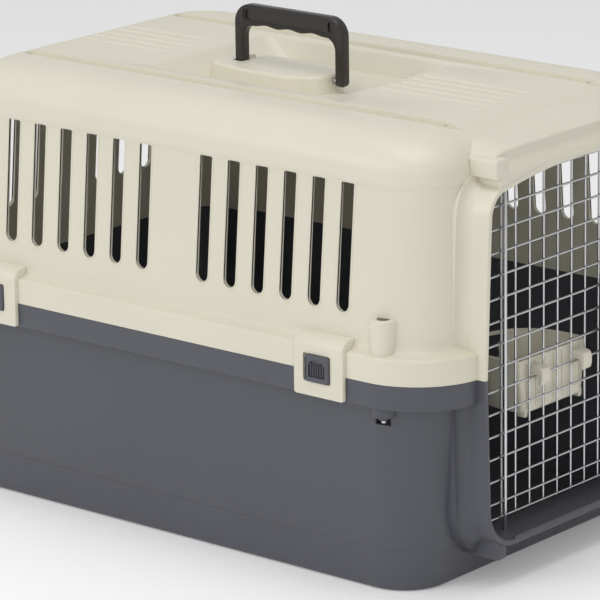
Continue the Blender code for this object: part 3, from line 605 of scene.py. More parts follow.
def upper_outside():
    levels = [grown(FLANGE, 0.0, SEAM_Z - 0.008), grown(FLANGE, 0.0, FLANGE_TOP_Z - 0.001)]
    edge = 0.0035
    for i in range(1, 6):
        angle = math.radians(90) * i / 5
        by = -edge * (1 - math.cos(angle))
        levels.append(grown(FLANGE, by, FLANGE_TOP_Z - 0.001 + edge * math.sin(angle)))
    top = levels[-1]
    levels.append(between(top, WALL_FOOT, 0.45, FLANGE_TOP_Z + 0.0035))
    rise = 0.010
    for i in range(6):
        angle = math.radians(90) * i / 5
        share = 0.55 + 0.45 * math.sin(angle)
        level = between(top, WALL_FOOT, share, FLANGE_TOP_Z + 0.0040 + rise * (1 - math.cos(angle)))
        lean = SIDE_LEAN * max(0.0, level.z - WALL_FOOT.z)
        levels.append(grown(level, -lean, level.z))
    levels += [grown(WALL_TOP, 0.0002, 0.4435), grown(WALL_TOP, 0.0008, 0.4455)]
    levels += [grown(SHOULDER, 0.0001, 0.4475), grown(SHOULDER, 0.0010, 0.4495)]
    levels.append(grown(SHOULDER, 0.0009, 0.4540))
    return levels + roof_levels(0.0, 16)


def upper_inside():
    levels = [grown(WALL_FOOT, 0.0, SEAM_Z - 0.02), grown(WALL_TOP, -WALL, 0.444)]
    return levels + roof_levels(WALL, 12)


upper = loft("upper_shell_skin", [ring(level) for level in upper_outside()], CREAM)
print("upper shell:", len(upper.data.polygons), "faces before joining")

# %% [markdown]
# The brow is a thick visor over the door: it slopes on from the roof to a crease, drops a short way and
# flares to the collar's lip. It is lofted across the door, so that it can arch a little and sink into
# the round corners. Three small blocks stand on its front. Each is rounded by itself first, because a
# bevel on a simple block is cleaner than one on the finished shell.

# %% Collar, brow and blocks
join(upper, collar("collar_upper", 0.335))
profile = [(0.290, 0.4385), (0.3815, 0.4385), (0.3815, 0.4560), (0.3790, 0.4610), (0.3745, 0.4655)]
profile += [(0.3712, 0.4690), (0.3700, 0.4720), (0.3700, 0.4800), (0.3685, 0.4814), (0.345, 0.4866)]
profile += [(0.322, 0.4915), (0.306, 0.4955), (0.290, 0.4985)]
BROW_HALF, BROW_STEP_Z = 0.1475, 0.4700


def brow_ring(y):
    """The side profile at one place across the door. Above the step it sinks towards the ends."""
    share = abs(y) / BROW_HALF
    keep = 1 - 0.10 * share**2 - 0.75 * (max(0.0, share - 0.75) / 0.25) ** 2
    return [Vector((x, y, z - max(0.0, z - BROW_STEP_Z) * (1 - keep))) for x, z in profile]


across = [BROW_HALF * (1 - (1 - i / 12) ** 1.6) for i in range(1, 13)]
brow = loft("brow", [brow_ring(y) for y in [-y for y in reversed(across)] + [0.0] + across])
for side in SIDES:
    near, far = sorted((side * 0.1415, side * 0.16))
    cut(brow, block("brow_end", (0.25, near, 0.42), (0.40, far, 0.4705)))
join(upper, soften(brow, 0.0016, 2, 25))
BLOCKS = ((-0.139, 0.011), (0.065, 0.008), (0.139, 0.011))
for y, half in BLOCKS:
    outline = round_box((y - half, 0.4545), (y + half, 0.4755), 0.0024, 3)
    join(upper, soften(prism("brow_block", "YZ", outline, 0.345, 0.3815), 0.0016, 3))
print("brow and", len(BLOCKS), "blocks joined")

# %% [markdown]
# The latch plates hang from the flange over its lower half. They have round lower corners, and their
# tops curve in over the ledge to the wall. A side profile gives the curve and a face outline gives the
# round corners, so each plate is where the two prisms meet.

# %% Latch plates
PLATES_X, PLATE_HALF, PLATE_OUT = (0.222, -0.258), 0.034, 0.2554
plate_profile = [(0.226, 0.262), (0.244, 0.240), (0.2465, 0.213), (PLATE_OUT, 0.213), (PLATE_OUT, 0.2650)]
plate_profile += arc((PLATE_OUT - 0.013, 0.2665), (0.013, 0.0135), 0, 90, 8) + [(0.226, 0.2805)]
for x in PLATES_X:
    for side in SIDES:
        plate = prism("plate", "YZ", [(side * y, z) for y, z in plate_profile], x - 0.04, x + 0.04)
        face = round_box((x - PLATE_HALF, 0.213), (x + PLATE_HALF, 0.300), 0.0032, 5)
        near, far = sorted((side * 0.20, side * 0.27))
        boolean(plate, [prism("plate_face", "XZ", face, near, far)], "INTERSECT")
        join(upper, soften(plate, 0.0011, 2, 40))
print("plates:", len(PLATES_X) * len(SIDES))

# %% [markdown]
# Inside, the shell is hollow to one wall thickness. The corner bosses that take the bolts are
# half-round columns on the ledge, and the flange is hollow underneath.


# %% Hollow, bosses and flange channel
BOLTS_X, BOLT_Y, BOSS = (0.292, -0.302), 0.2305, 0.0145
CORNERS = [(x, side) for x in BOLTS_X for side in SIDES]


def boss(x, side, low, high, rounded=0.0):
    outer = arc((x, BOLT_Y), BOSS, 0, 180, 20)
    outline = [(a, side * b) for a, b in outer + [(x - BOSS, 0.2215), (x + BOSS, 0.2215)]]
    made = prism("boss", "XY", outline, low, high)
    return soften(made, rounded, 3, 60) if rounded else made


def flange_channel(low, high):
    """The hollow under the flange, a ring between its skin and the wall."""
    made = loft("channel", [ring(grown(FLANGE, -FLANGE_SKIN, z)) for z in (low, high)])
    core = loft("core", [ring(grown(WALL_FOOT, 0.0033, z)) for z in (low - 0.01, high + 0.01)])
    half = 0.166 + COLLAR_WALL + 0.0005
    gap = block("gap", (0.30, -half, low - 0.02), (0.40, half, high + 0.02))
    around = [boss(x, side, low - 0.03, high + 0.03) for x, side in CORNERS]
    return cut(made, core, gap, *around)


cut(upper, loft("cabin_upper", [ring(level) for level in upper_inside()]))
join(upper, *[boss(x, side, SEAM_Z - 0.006, 0.307, 0.0012) for x, side in CORNERS])
cut(upper, flange_channel(SEAM_Z - 0.012, FLANGE_TOP_Z - 0.0005), doorway("doorway_upper", 0.325))
trim = FLANGE.half + 0.0004
cut(upper, block("seam_trim", (-0.45, -trim, -0.05), (0.45, trim, SEAM_Z + GAP / 2)))
print("hollow upper shell:", len(upper.data.polygons), "faces")

# %% [markdown]
# ## Vents
# Two groups of six tall slots in each long side and two groups of three in the rear let air through.
# Each has a flat top just under the shoulder and a round bottom, and a thin raised rim. A slot and a
# rim are modelled once and the row tree copies them. The rim follows the wall's lean, so it stands the
# same height all round.

# %% Vent slots
VENT_HALF, VENT_LOW, VENT_HIGH = 0.0085, 0.3057, 0.4455
VENT_STEP, VENT_MIDDLE, VENT_GAP, VENT_COUNT = 0.0398, -0.006, 0.0442, 6
REAR_FIRST, REAR_STEP, REAR_COUNT = 0.038, 0.041, 3


def slot(middle, grow=0.0):
    half, corner = VENT_HALF + grow, 0.0016 + max(0.0, grow)
    points = arc((middle, VENT_LOW + VENT_HALF), half, 180, 360, 14)
    high = VENT_HIGH + grow
    points += arc((middle + half - corner, high - corner), corner, 0, 90, 3)
    return points + arc((middle - half + corner, high - corner), corner, 90, 180, 3)


def first_of(side):
    """The first vent of a side group. The rows run on from it towards the shell's end or its middle."""
    start = VENT_MIDDLE + side * VENT_GAP
    return start if side > 0 else start - VENT_STEP * (VENT_COUNT - 1)


tools = []
for group in SIDES:
    for wall in SIDES:
        low, high = sorted((wall * 0.20, wall * 0.26))
        tool = prism("vent_tool", "XZ", slot(first_of(group)), low, high)
        tools.append(in_a_row(tool, VENT_COUNT, (VENT_STEP, 0, 0)))
    first = REAR_FIRST if group > 0 else -REAR_FIRST - REAR_STEP * (REAR_COUNT - 1)
    tool = prism("vent_tool", "YZ", slot(first), -0.40, -0.33)
    tools.append(in_a_row(tool, REAR_COUNT, (0, REAR_STEP, 0)))
cut(upper, *tools)
print("vents:", 4 * VENT_COUNT + 2 * REAR_COUNT)


# %% Vent rims
def rim(name, middle, place):
    """A closed bead round one slot. place turns (along, height, out) into a point on the wall."""
    section = [(0.0, -0.0020), (0.0, 0.0003), (0.0004, 0.00075), (0.0011, 0.0009), (0.0018, 0.0007)]
    section += [(0.0023, 0.0002), (0.0026, -0.0006)]
    bm = bmesh.new()
    rings = []
    for grow, out in section:
        rings.append([bm.verts.new(place(a, z, out)) for a, z in slot(middle, grow)])
    for lower, upper_ring in zip(rings, rings[1:] + rings[:1]):
        for i in range(len(lower)):
            j = (i + 1) % len(lower)
            bm.faces.new((lower[i], lower[j], upper_ring[j], upper_ring[i]))
    return new_piece(name, bm, CREAM)


rims = []
for group in SIDES:
    for wall in SIDES:

        def on_side(along, z, out, wall=wall):
            return Vector((along, wall * (side_wall(z) + out), z))

        made = rim("side_rim", first_of(group), on_side)
        rims.append(in_a_row(made, VENT_COUNT, (VENT_STEP, 0, 0), CREAM))
    first = REAR_FIRST if group > 0 else -REAR_FIRST - REAR_STEP * (REAR_COUNT - 1)
    made = rim("rear_rim", first, lambda along, z, out: Vector((rear_wall(z) - out, along, z)))
    rims.append(in_a_row(made, REAR_COUNT, (0, REAR_STEP, 0), CREAM))


def merged(name, pieces):
    """Several plain meshes as one object."""
    bm = bmesh.new()
    for piece in pieces:
        bm.from_mesh(piece.data)
    mesh = bpy.data.meshes.new(name)
    bm.to_mesh(mesh)
    bm.free()
    mesh.materials.append(pieces[0].data.materials[0])
    for piece in pieces:
        bpy.data.objects.remove(piece)
    obj = bpy.data.objects.new(name, mesh)
    bpy.context.scene.collection.objects.link(obj)
    return obj


vent_rims = smooth(merged("vent_rims", rims), 50)
print("vent rims:", len(vent_rims.data.polygons), "faces")

# %% [markdown]
# ## The roof
# Two long grooves run the length of the roof, five fine ones lie at each end, and between them a
# shallow recess holds the handle. Its ends slope, and a rounded stand in the middle carries the
# handle's pins. Material is added under the roof first, so that no cut breaks through.

# %% Roof cuts
RECESS = Level(ROOF_Z, 0.105, -0.150, 0.124, 0.012)
FLOOR_Z, SLOPE = 0.476, 0.030
pans = [block("pan", (-0.156, -0.111, FLOOR_Z - WALL), (0.130, 0.111, ROOF_Z - 0.001))]
for side in SIDES:
    near, far = sorted((side * 0.118, side * 0.140))
    pans.append(block("pan", (-0.312, near, 0.4900), (0.289, far, ROOF_Z - 0.001)))
    pans.append(block("pan", (0.280, near, 0.4895), (0.308, far, 0.4955)))
join(upper, *pans)
recess_floor = Level(FLOOR_Z, RECESS.half - 0.008, RECESS.rear + SLOPE, RECESS.front - SLOPE, 0.02)
levels = [recess_floor, between(recess_floor, RECESS, 0.03, FLOOR_Z + 0.0004)]
levels += [between(recess_floor, RECESS, 0.10, FLOOR_Z + 0.0016), between(recess_floor, RECESS, 0.93, 0.4980)]
levels += [grown(RECESS, 0.0004, 0.4995), grown(RECESS, 0.0016, 0.50005), grown(RECESS, 0.0016, 0.51)]
cut(upper, loft("recess", [ring(level) for level in levels]))


def groove(start, end, y, width, depth, slope=0.0):
    """A shallow trough's cutter, with round ends and sides that flare to the surface."""
    rings = []
    levels = ((ROOF_Z - depth, -slope), (ROOF_Z - 0.0004, 0.0), (ROOF_Z, 0.0004), (ROOF_Z + 0.01, 0.0004))
    for z, grow in levels:
        low, high = (start - grow, y - width / 2 - grow), (end + grow, y + width / 2 + grow)
        points = round_box(low, high, width * 0.46 + grow, 5)
        rings.append([Vector((a, b, z)) for a, b in points])
    return loft("groove", rings)


LONG_SPAN, LONG_Y, LONG_WIDTH, LONG_DEPTH = (-0.313, 0.330), 0.129, 0.019, 0.0065
FINE_SPANS, FINE_WIDTH, FINE_DEPTH = ((-0.324, -0.183), (0.130, 0.279)), 0.0060, 0.0018
FINE_STEP, FINE_MIDDLE, FINE_COUNT = 0.0195, 0.004, 5
tools = [groove(*LONG_SPAN, side * LONG_Y, LONG_WIDTH, LONG_DEPTH, 0.0012) for side in SIDES]
for start, end in FINE_SPANS:
    first = FINE_MIDDLE - FINE_STEP * (FINE_COUNT - 1) / 2
    fine = groove(start, end, first, FINE_WIDTH, FINE_DEPTH, 0.0014)
    tools.append(in_a_row(fine, FINE_COUNT, (0, FINE_STEP, 0)))
cut(upper, *tools)
print("roof grooves:", 2 + 2 * FINE_COUNT)

# %% [markdown]
# The stand is a smooth island, nearly level with the roof, with a soft edge. The handle's rear leg
# drops into a slot in it. Its front leg stands outside, on a pin that ends inside the leg.

# %% The stand for the handle
HANDLE_X, HANDLE_HALF, HANDLE_TOP, PIVOT_Z = -0.0235, 0.080, 0.5625, 0.489
LEG_WIDTH, LEG_HALF, PIN_HOLE = 0.0125, 0.0062, 0.0034
REAR_LEG = HANDLE_X - HANDLE_HALF + LEG_WIDTH / 2
FRONT_LEG = HANDLE_X + HANDLE_HALF - LEG_WIDTH / 2


def oval(middle, reach, half, z, power=2.6, steps=48):
    points = []
    for i in range(steps):
        angle = math.tau * i / steps
        c, s = math.cos(angle), math.sin(angle)
        x = middle + reach * math.copysign(abs(c) ** (2 / power), c)
        points.append(Vector((x, half * math.copysign(abs(s) ** (2 / power), s), z)))
    return points


STAND_X, STAND_REACH, STAND_HALF = -0.0465, 0.0850, 0.0390
stand_rings = [oval(STAND_X, STAND_REACH + 0.0035, STAND_HALF + 0.0035, FLOOR_Z - 0.001)]
stand_rings.append(oval(STAND_X, STAND_REACH + 0.0020, STAND_HALF + 0.0020, FLOOR_Z + 0.004))
edge = 0.0045
for i in range(6):
    angle = math.radians(90) * i / 5
    inward = edge * (1 - math.cos(angle))
    top_z = 0.4915 + edge * math.sin(angle)
    stand_rings.append(oval(STAND_X, STAND_REACH - inward, STAND_HALF - inward, top_z))
join(upper, loft("stand", stand_rings))
slot_half = LEG_WIDTH / 2 + 0.001
leg_slot = block(
    "leg_slot",
    (REAR_LEG - slot_half, -LEG_HALF - 0.003, PIVOT_Z - LEG_HALF - 0.0012),
    (REAR_LEG + slot_half, 0.060, ROOF_Z + 0.01),
)
PINS = {"handle_pin_rear": (REAR_LEG - 0.020, REAR_LEG + 0.018)}
PINS["handle_pin_front"] = (FRONT_LEG - 0.024, FRONT_LEG + LEG_WIDTH / 2 - 0.0025)
holes = [bar("pin_hole", (a - GAP, 0, PIVOT_Z), (b + 0.0015, 0, PIVOT_Z), PIN_HOLE) for a, b in PINS.values()]
cut(upper, leg_slot, *holes)
print("handle legs at X", round(REAR_LEG, 3), "and", round(FRONT_LEG, 3))

# %% [markdown]
# Last come the small openings: the windows that the latch buttons slide in, the door's rod sockets and
# the bolts' holes. Then the shell is shaded smooth with its real edges kept sharp.

# %% Windows, sockets and bolt holes
DOOR_X, ROD_Y, ROD_RADIUS = 0.3545, 0.100, 0.0023
BUTTON_HALF_X, BUTTON_HALF_Z, BUTTON_Z, BUTTON_TRAVEL = 0.0162, 0.0151, 0.2448, 0.004
tools = []
for x in PLATES_X:
    for side in SIDES:
        near, far = sorted((side * 0.2502, side * 0.27))
        low = (x - BUTTON_HALF_X - BUTTON_TRAVEL - 0.0005, BUTTON_Z - BUTTON_HALF_Z - 0.0005)
        high = (x + BUTTON_HALF_X + 0.0005, BUTTON_Z + BUTTON_HALF_Z + 0.0005)
        tools.append(prism("window", "XZ", round_box(low, high, 0.0022, 4), near, far))
cut(upper, *tools)
tools = []
for x in PLATES_X:
    for side in SIDES:
        near, far = sorted((side * 0.244, side * 0.26))
        tools.append(block("neck", (x - 0.0145, near, 0.243), (x + 0.0105, far, 0.2575)))


def rod_sockets(low, high, keeper_high):
    """The hinge rod's hole, and the latch bolt's keeper, which opens forwards."""
    hole = bar("socket", (DOOR_X, -ROD_Y, low), (DOOR_X, -ROD_Y, high), ROD_RADIUS + 0.0006)
    keeper = (DOOR_X - 0.004, ROD_Y - 0.005, low + 0.0003), (COLLAR_FRONT + 0.01, ROD_Y + 0.004, keeper_high)
    return [hole, block("keeper", *keeper)]


def corner_bars(low, high, radius):
    return [bar("hole", (x, side * BOLT_Y, low), (x, side * BOLT_Y, high), radius) for x, side in CORNERS]


BOLT_HOLE, HEAD_HOLE, HEAD_SEAT_Z, BOSS_TOP_Z = 0.0033, 0.0072, 0.2977, 0.3075


tools += rod_sockets(0.430, 0.457, 0.452) + corner_bars(0.22, BOSS_TOP_Z, BOLT_HOLE)
cut(upper, *tools, *corner_bars(HEAD_SEAT_Z, BOSS_TOP_Z, HEAD_HOLE))
smooth(upper)
print("upper shell:", len(upper.data.polygons), "faces")
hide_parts("top_shell")

# %% [markdown]
# ## The lower shell
# The grey tub goes together the same way: a foot with a rounded edge, a skirt with a small ledge, the
# leaning wall, and the lower half of the flange, whose bottom edge is rounded. The collar goes on round
# the sill.

# %% Lower shell
FOOT = Level(0.0, 0.2215, -0.3435, 0.3225, 0.050)
SKIRT = Level(0.046, 0.2270, -0.352, 0.333, 0.056)
foot_edge = ((0.0, 0.0), (0.0017, 0.0005), (0.0034, 0.0020), (0.0045, 0.005))
levels = [grown(FOOT, by, z) for by, z in foot_edge]
levels += [grown(SKIRT, -0.0002, 0.0440), grown(SKIRT, 0.0002, 0.0462), grown(SKIRT, 0.0012, 0.0472)]
levels += [grown(SKIRT, 0.0020, 0.0485), between(grown(SKIRT, 0.0020, 0.0485), WALL_FOOT, 0.96, 0.2040)]
levels += [grown(WALL_FOOT, 0.0004, 0.2080), grown(WALL_FOOT, 0.0022, 0.2105)]
levels.append(between(WALL_FOOT, FLANGE, 0.35, 0.2112))
flange_edge = ((-0.0026, 0.2120), (-0.0011, 0.2126), (-0.0003, 0.2136), (0.0, 0.2150), (0.0, SEAM_Z + 0.008))
levels += [grown(FLANGE, by, z) for by, z in flange_edge]
lower = loft("lower_shell_skin", [ring(level) for level in levels], SLATE)
join(lower, collar("collar_lower", 0.318))
for side in SIDES:
    outline = round_box((side * 0.136 - 0.008, 0.030), (side * 0.136 + 0.008, 0.062), 0.0035, 4)
    join(lower, soften(prism("under_block", "YZ", outline, 0.322, 0.378), 0.0016, 3))
inside = [grown(FOOT, -WALL, WALL), grown(SKIRT, -WALL, 0.0465), grown(SKIRT, -0.0010, 0.0505)]
inside += [grown(WALL_FOOT, -WALL, FLANGE_LOW_Z), grown(WALL_FOOT, 0.0, SEAM_Z + 0.02)]
cut(lower, loft("cabin_lower", [ring(level) for level in inside]))
join(lower, *[boss(x, side, 0.2005, SEAM_Z + 0.006) for x, side in CORNERS])
backs, pockets = [], []
for x, side in CORNERS:
    near, far = sorted((side * (BOLT_Y - 0.0145), side * (BOLT_Y - 0.0070)))
    backs.append(block("nut_back", (x - 0.0125, near, 0.186), (x + 0.0125, far, 0.2045)))
    near, far = sorted((side * (BOLT_Y - 0.0085), side * (BOLT_Y + 0.0300)))
    pockets.append(block("nut_pocket", (x - 0.0090, near, 0.190), (x + 0.0090, far, 0.2005)))
join(lower, *backs)
cut(lower, *pockets)
cut(lower, flange_channel(FLANGE_LOW_Z + 0.0032, SEAM_Z + 0.012), doorway("doorway_lower", 0.310))
lip = round_box((0.379, 0.046), (0.3823, 0.0528), 0.0014, 4)
join(lower, soften(prism("sill_lip", "XZ", lip, -0.118, 0.118), 0.0006))
cut(lower, *rod_sockets(0.0460, 0.0600, 0.0600), *corner_bars(0.1905, 0.26, BOLT_HOLE))
cut(lower, block("seam_trim", (-0.45, -0.30, SEAM_Z - GAP / 2), (0.45, 0.30, 0.60)))
smooth(lower)
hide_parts("bottom_shell")
print("lower shell:", len(lower.data.polygons), "faces")

# %% [markdown]
# ## The door's wires
# The door is a welded grid: upright wires behind, level wires across their fronts, one inch apart. A
# second node tree draws a straight wire, gives it a round section and repeats it. Its inputs are the
# wire's two ends, its radius, how many there are and the step between them.

# %% The wire tree
WIRES, given, result = new_tree(
    "row_of_wires",
    [
        ("Start", "NodeSocketVector"),
        ("End", "NodeSocketVector"),
        ("Radius", "NodeSocketFloat"),
        ("Count", "NodeSocketInt"),
        ("Step", "NodeSocketVector"),
        ("Finish", "NodeSocketMaterial"),
    ],
)
path = WIRES.nodes.new("GeometryNodeCurvePrimitiveLine")
section = WIRES.nodes.new("GeometryNodeCurvePrimitiveCircle")
section.inputs["Resolution"].default_value = 10
tube = WIRES.nodes.new("GeometryNodeCurveToMesh")
tube.inputs["Fill Caps"].default_value = True
line = WIRES.nodes.new("GeometryNodeMeshLine")
copies = WIRES.nodes.new("GeometryNodeInstanceOnPoints")
link(WIRES, given, "Start", path, "Start")
link(WIRES, given, "End", path, "End")
link(WIRES, given, "Radius", section, "Radius")
link(WIRES, path, "Curve", tube, "Curve")
link(WIRES, section, "Curve", tube, "Profile Curve")
link(WIRES, given, "Count", line, "Count")
link(WIRES, given, "Step", line, "Offset")
link(WIRES, line, "Mesh", copies, "Points")
link(WIRES, tube, "Mesh", copies, "Instance")
end_tree(WIRES, copies.outputs["Instances"], given, result)


def wires(name, start, end, count=1, step=(0, 0, 0), radius=0.0013, look=ZINC):
    values = {"Start": start, "End": end, "Radius": radius, "Count": count, "Step": step, "Finish": look}
    return run_tree(new_piece(name, bmesh.new()), WIRES, values)


print("tree:", WIRES.name, "with", len(WIRES.nodes), "nodes")

# %% The grid
PITCH, MIDDLE_Y, ROW_STEP = 0.0254, 0.0030, 0.02558
BACK_X, FRONT_X = 0.3482, 0.3502
BOTTOM_Z, FIRST_Z, ROWS = 0.0640, 0.0812, 14
LAST_Z = FIRST_Z + ROW_STEP * (ROWS - 1)
CROWN_Z = LAST_Z + ROW_STEP
foot_z, side_y = BOTTOM_Z - 0.003, MIDDLE_Y - 5 * PITCH
crown_low_y, crown_high_y = MIDDLE_Y - 4.12 * PITCH, MIDDLE_Y + 4.12 * PITCH
grid = [
    wires(
        "uprights",
        (BACK_X, MIDDLE_Y - 4 * PITCH, foot_z),
        (BACK_X, MIDDLE_Y - 4 * PITCH, CROWN_Z + 0.003),
        9,
        (0, PITCH, 0),
    ),
    wires("ends", (BACK_X, side_y, foot_z), (BACK_X, side_y, LAST_Z + 0.003), 2, (0, 10 * PITCH, 0)),
    wires("rows", (FRONT_X, -0.152, FIRST_Z), (FRONT_X, 0.148, FIRST_Z), ROWS, (0, 0, ROW_STEP)),
    wires("bottom_row", (FRONT_X, -0.145, BOTTOM_Z), (FRONT_X, 0.141, BOTTOM_Z)),
    wires("crown_row", (FRONT_X, crown_low_y, CROWN_Z), (FRONT_X, crown_high_y, CROWN_Z)),
]
door_wires = smooth(merged("door_wires", grid), 50)
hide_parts("door_grid", "door_grid_top")
print("wires in the door:", 9 + 2 + ROWS + 2)

# %% [markdown]
# The hinge rod stands in front of the grid, with its ends in the two shells. The latch's two bolts are
# the same rod on the other side. Each is a round bar with rounded ends.

# %% Rods and bolts
rods = {}
for node in ("door_hinge_rod", "upper_latch_bolt", "lower_latch_bolt"):
    low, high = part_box(node)
    x, y = (low.x + high.x) / 2, (low.y + high.y) / 2
    made = bar(node + "_skin", (x, y, low.z), (x, y, high.z), ROD_RADIUS, ZINC, 28)
    rods[node] = smooth(soften(made, 0.0007, 3, 60), 50)
    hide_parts(node)
print("rods:", ", ".join(rods))

# %% [markdown]
# ## The door latch
# A grey housing is clipped on the grid, with a window through which two finger pulls show. Squeezing
# the pulls together draws the bolts out of the shells against a coil spring. The housing's corners are
# rounded, and each pull has four grip ribs, set out by the row tree.

# %% Housing and pulls
low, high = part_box("latch_housing")
middle_z, low_x = (low.z + high.z) / 2, low.x + 0.0005
case_outline = round_box((low.y, low.z), (high.y, high.z), 0.005, 8)
case = soften(prism("latch_case", "YZ", case_outline, low_x, high.x, SLATE), 0.0014, 3, 50)
pocket_outline = round_box((low.y + 0.0025, low.z + 0.0025), (high.y - 0.0025, high.z - 0.0025), 0.003, 6)
pocket = prism("pocket", "YZ", pocket_outline, low.x - 0.01, high.x - 0.0025)
window_outline = round_box((ROD_Y - 0.0085, middle_z - 0.031), (ROD_Y + 0.0085, middle_z + 0.031), 0.0012, 4)
window = prism("window", "YZ", window_outline, low.x, high.x + 0.01)
bore = bar("bore", (DOOR_X, ROD_Y, low.z - 0.01), (DOOR_X, ROD_Y, high.z + 0.01), ROD_RADIUS + 0.0004)
smooth(cut(case, pocket, window, bore))
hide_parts("latch_housing")


def finger_pull(node):
    low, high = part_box(node)
    outline = round_box((low.y, low.z), (high.y, high.z), 0.0018, 5)
    made = soften(prism(node + "_skin", "YZ", outline, low_x, high.x, SLATE), 0.0009, 3, 50)
    rib = round_box((high.x - 0.012, low.y + 0.0005), (high.x - 0.0108, high.y - 0.0005), 0.0005, 3)
    rib = prism("rib", "XY", rib, low.z - 0.0005, high.z + 0.0005)
    join(made, in_a_row(rib, 4, (0.0026, 0, 0), SLATE))
    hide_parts(node)
    return smooth(made)


upper_pull, lower_pull = finger_pull("upper_finger_pull"), finger_pull("lower_finger_pull")
print("latch case:", len(case.data.polygons), "faces")

# %% [markdown]
# The spring is a helix, which Geometry Nodes have as a ready curve: a spiral whose two radii are the
# same.

# %% Spring
COIL, given, result = new_tree(
    "coil_spring",
    [("Turns", "NodeSocketFloat"), ("Radius", "NodeSocketFloat"), ("Height", "NodeSocketFloat")]
    + [("Wire", "NodeSocketFloat"), ("Place", "NodeSocketVector"), ("Finish", "NodeSocketMaterial")],
)
helix = COIL.nodes.new("GeometryNodeCurveSpiral")
helix.inputs["Resolution"].default_value = 20
section = COIL.nodes.new("GeometryNodeCurvePrimitiveCircle")
section.inputs["Resolution"].default_value = 8
tube = COIL.nodes.new("GeometryNodeCurveToMesh")
tube.inputs["Fill Caps"].default_value = True
place = COIL.nodes.new("GeometryNodeTransform")
link(COIL, given, "Turns", helix, "Rotations")
link(COIL, given, "Radius", helix, "Start Radius")
link(COIL, given, "Radius", helix, "End Radius")
link(COIL, given, "Height", helix, "Height")
link(COIL, given, "Wire", section, "Radius")
link(COIL, helix, "Curve", tube, "Curve")
link(COIL, section, "Curve", tube, "Profile Curve")
link(COIL, tube, "Mesh", place, "Geometry")
link(COIL, given, "Place", place, "Translation")
end_tree(COIL, place.outputs["Geometry"], given, result)
reach = 0.0209
values = {"Turns": 8.0, "Radius": 0.0032, "Height": 2 * reach, "Wire": 0.0005}
values.update({"Place": (DOOR_X, ROD_Y, middle_z - reach), "Finish": STEEL})
coil = smooth(run_tree(new_piece("latch_coil", bmesh.new()), COIL, values), 50)
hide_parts("latch_spring")
print("coil:", len(coil.data.polygons), "faces")

# %% [markdown]
# ## The carry handle
# A dark bail with round outer corners. Under the grip three shallow waves fit the fingers. Each face of
# the grip is a sunken panel that ends in a deeper pocket by each leg, which keeps the moulding's walls
# thin. The legs end in round feet on the pins.


# %% Handle
def handle_outline():
    corner, inner, half = 0.022, 0.014, LEG_WIDTH / 2
    low = HANDLE_TOP - 0.0245
    points = arc((FRONT_LEG, PIVOT_Z), half, 180, 360, 12)
    points += arc((FRONT_LEG + half - corner, HANDLE_TOP - corner), corner, 0, 90, 12)
    points += arc((REAR_LEG - half + corner, HANDLE_TOP - corner), corner, 90, 180, 12)
    points += arc((REAR_LEG, PIVOT_Z), half, 180, 360, 12)
    points += arc((REAR_LEG + half + inner, low - inner), inner, 180, 100, 8)
    start, end = REAR_LEG + half + inner + 0.002, FRONT_LEG - half - inner - 0.002
    for i in range(43):
        share = i / 42
        wave = 0.0011 * (1 - math.cos(math.tau * 3 * share))
        points.append((start + (end - start) * share, low + wave))
    return points + arc((FRONT_LEG - half - inner, low - inner), inner, 80, 0, 8)


grip = prism("carry_handle_skin", "XZ", handle_outline(), -LEG_HALF, LEG_HALF, CHARCOAL)
soften(grip, 0.0022, 4, 50)
tools = []
for side in SIDES:
    near, far = sorted((side * (LEG_HALF - 0.0012), side * 0.03))
    low, high = (REAR_LEG + 0.007, HANDLE_TOP - 0.0190), (FRONT_LEG - 0.007, HANDLE_TOP - 0.0045)
    tools.append(prism("panel", "XZ", round_box(low, high, 0.0045, 6), near, far))
cut(grip, *tools)
tools = []
for side in SIDES:
    near, far = sorted((side * (LEG_HALF - 0.0034), side * 0.03))
    for x in (REAR_LEG + 0.0130, FRONT_LEG - 0.0130):
        low, high = (x - 0.0035, HANDLE_TOP - 0.0175), (x + 0.0035, HANDLE_TOP - 0.0060)
        tools.append(prism("pocket", "XZ", round_box(low, high, 0.003, 6), near, far))
cut(grip, *tools)
corners = block("leg_corners", (REAR_LEG - 0.03, -0.03, PIVOT_Z - 0.03), (FRONT_LEG + 0.03, 0.03, PIVOT_Z))
knuckle = bar("knuckle", (REAR_LEG - 0.04, 0, PIVOT_Z), (FRONT_LEG + 0.04, 0, PIVOT_Z), LEG_HALF, None, 48)
cut(corners, knuckle)
blind = PINS["handle_pin_front"][1] + 0.0008
bore = bar("bore", (REAR_LEG - 0.03, 0, PIVOT_Z), (blind, 0, PIVOT_Z), PIN_HOLE)
smooth(cut(grip, corners, bore))
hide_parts("handle")
print("handle:", len(grip.data.polygons), "faces")

# %% Pins
pins = []
for node, (start, end) in PINS.items():
    made = bar(node + "_skin", (start, 0, PIVOT_Z), (end, 0, PIVOT_Z), 0.003, STEEL, 28)
    pins.append(smooth(soften(made, 0.0005, 2, 60), 50))
    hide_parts(node)
print("pins:", len(pins))

# %% [markdown]
# ## The side latches
# Each is a grey slide button in its plate's window. A sunken arch in its face holds six upright ribs
# for the thumb. Behind it a neck and a keeper plate run in the flange. One button is modelled and moved
# to each of the four places, and mirrored on the left.

# %% Slide buttons
OUT = FLANGE.half


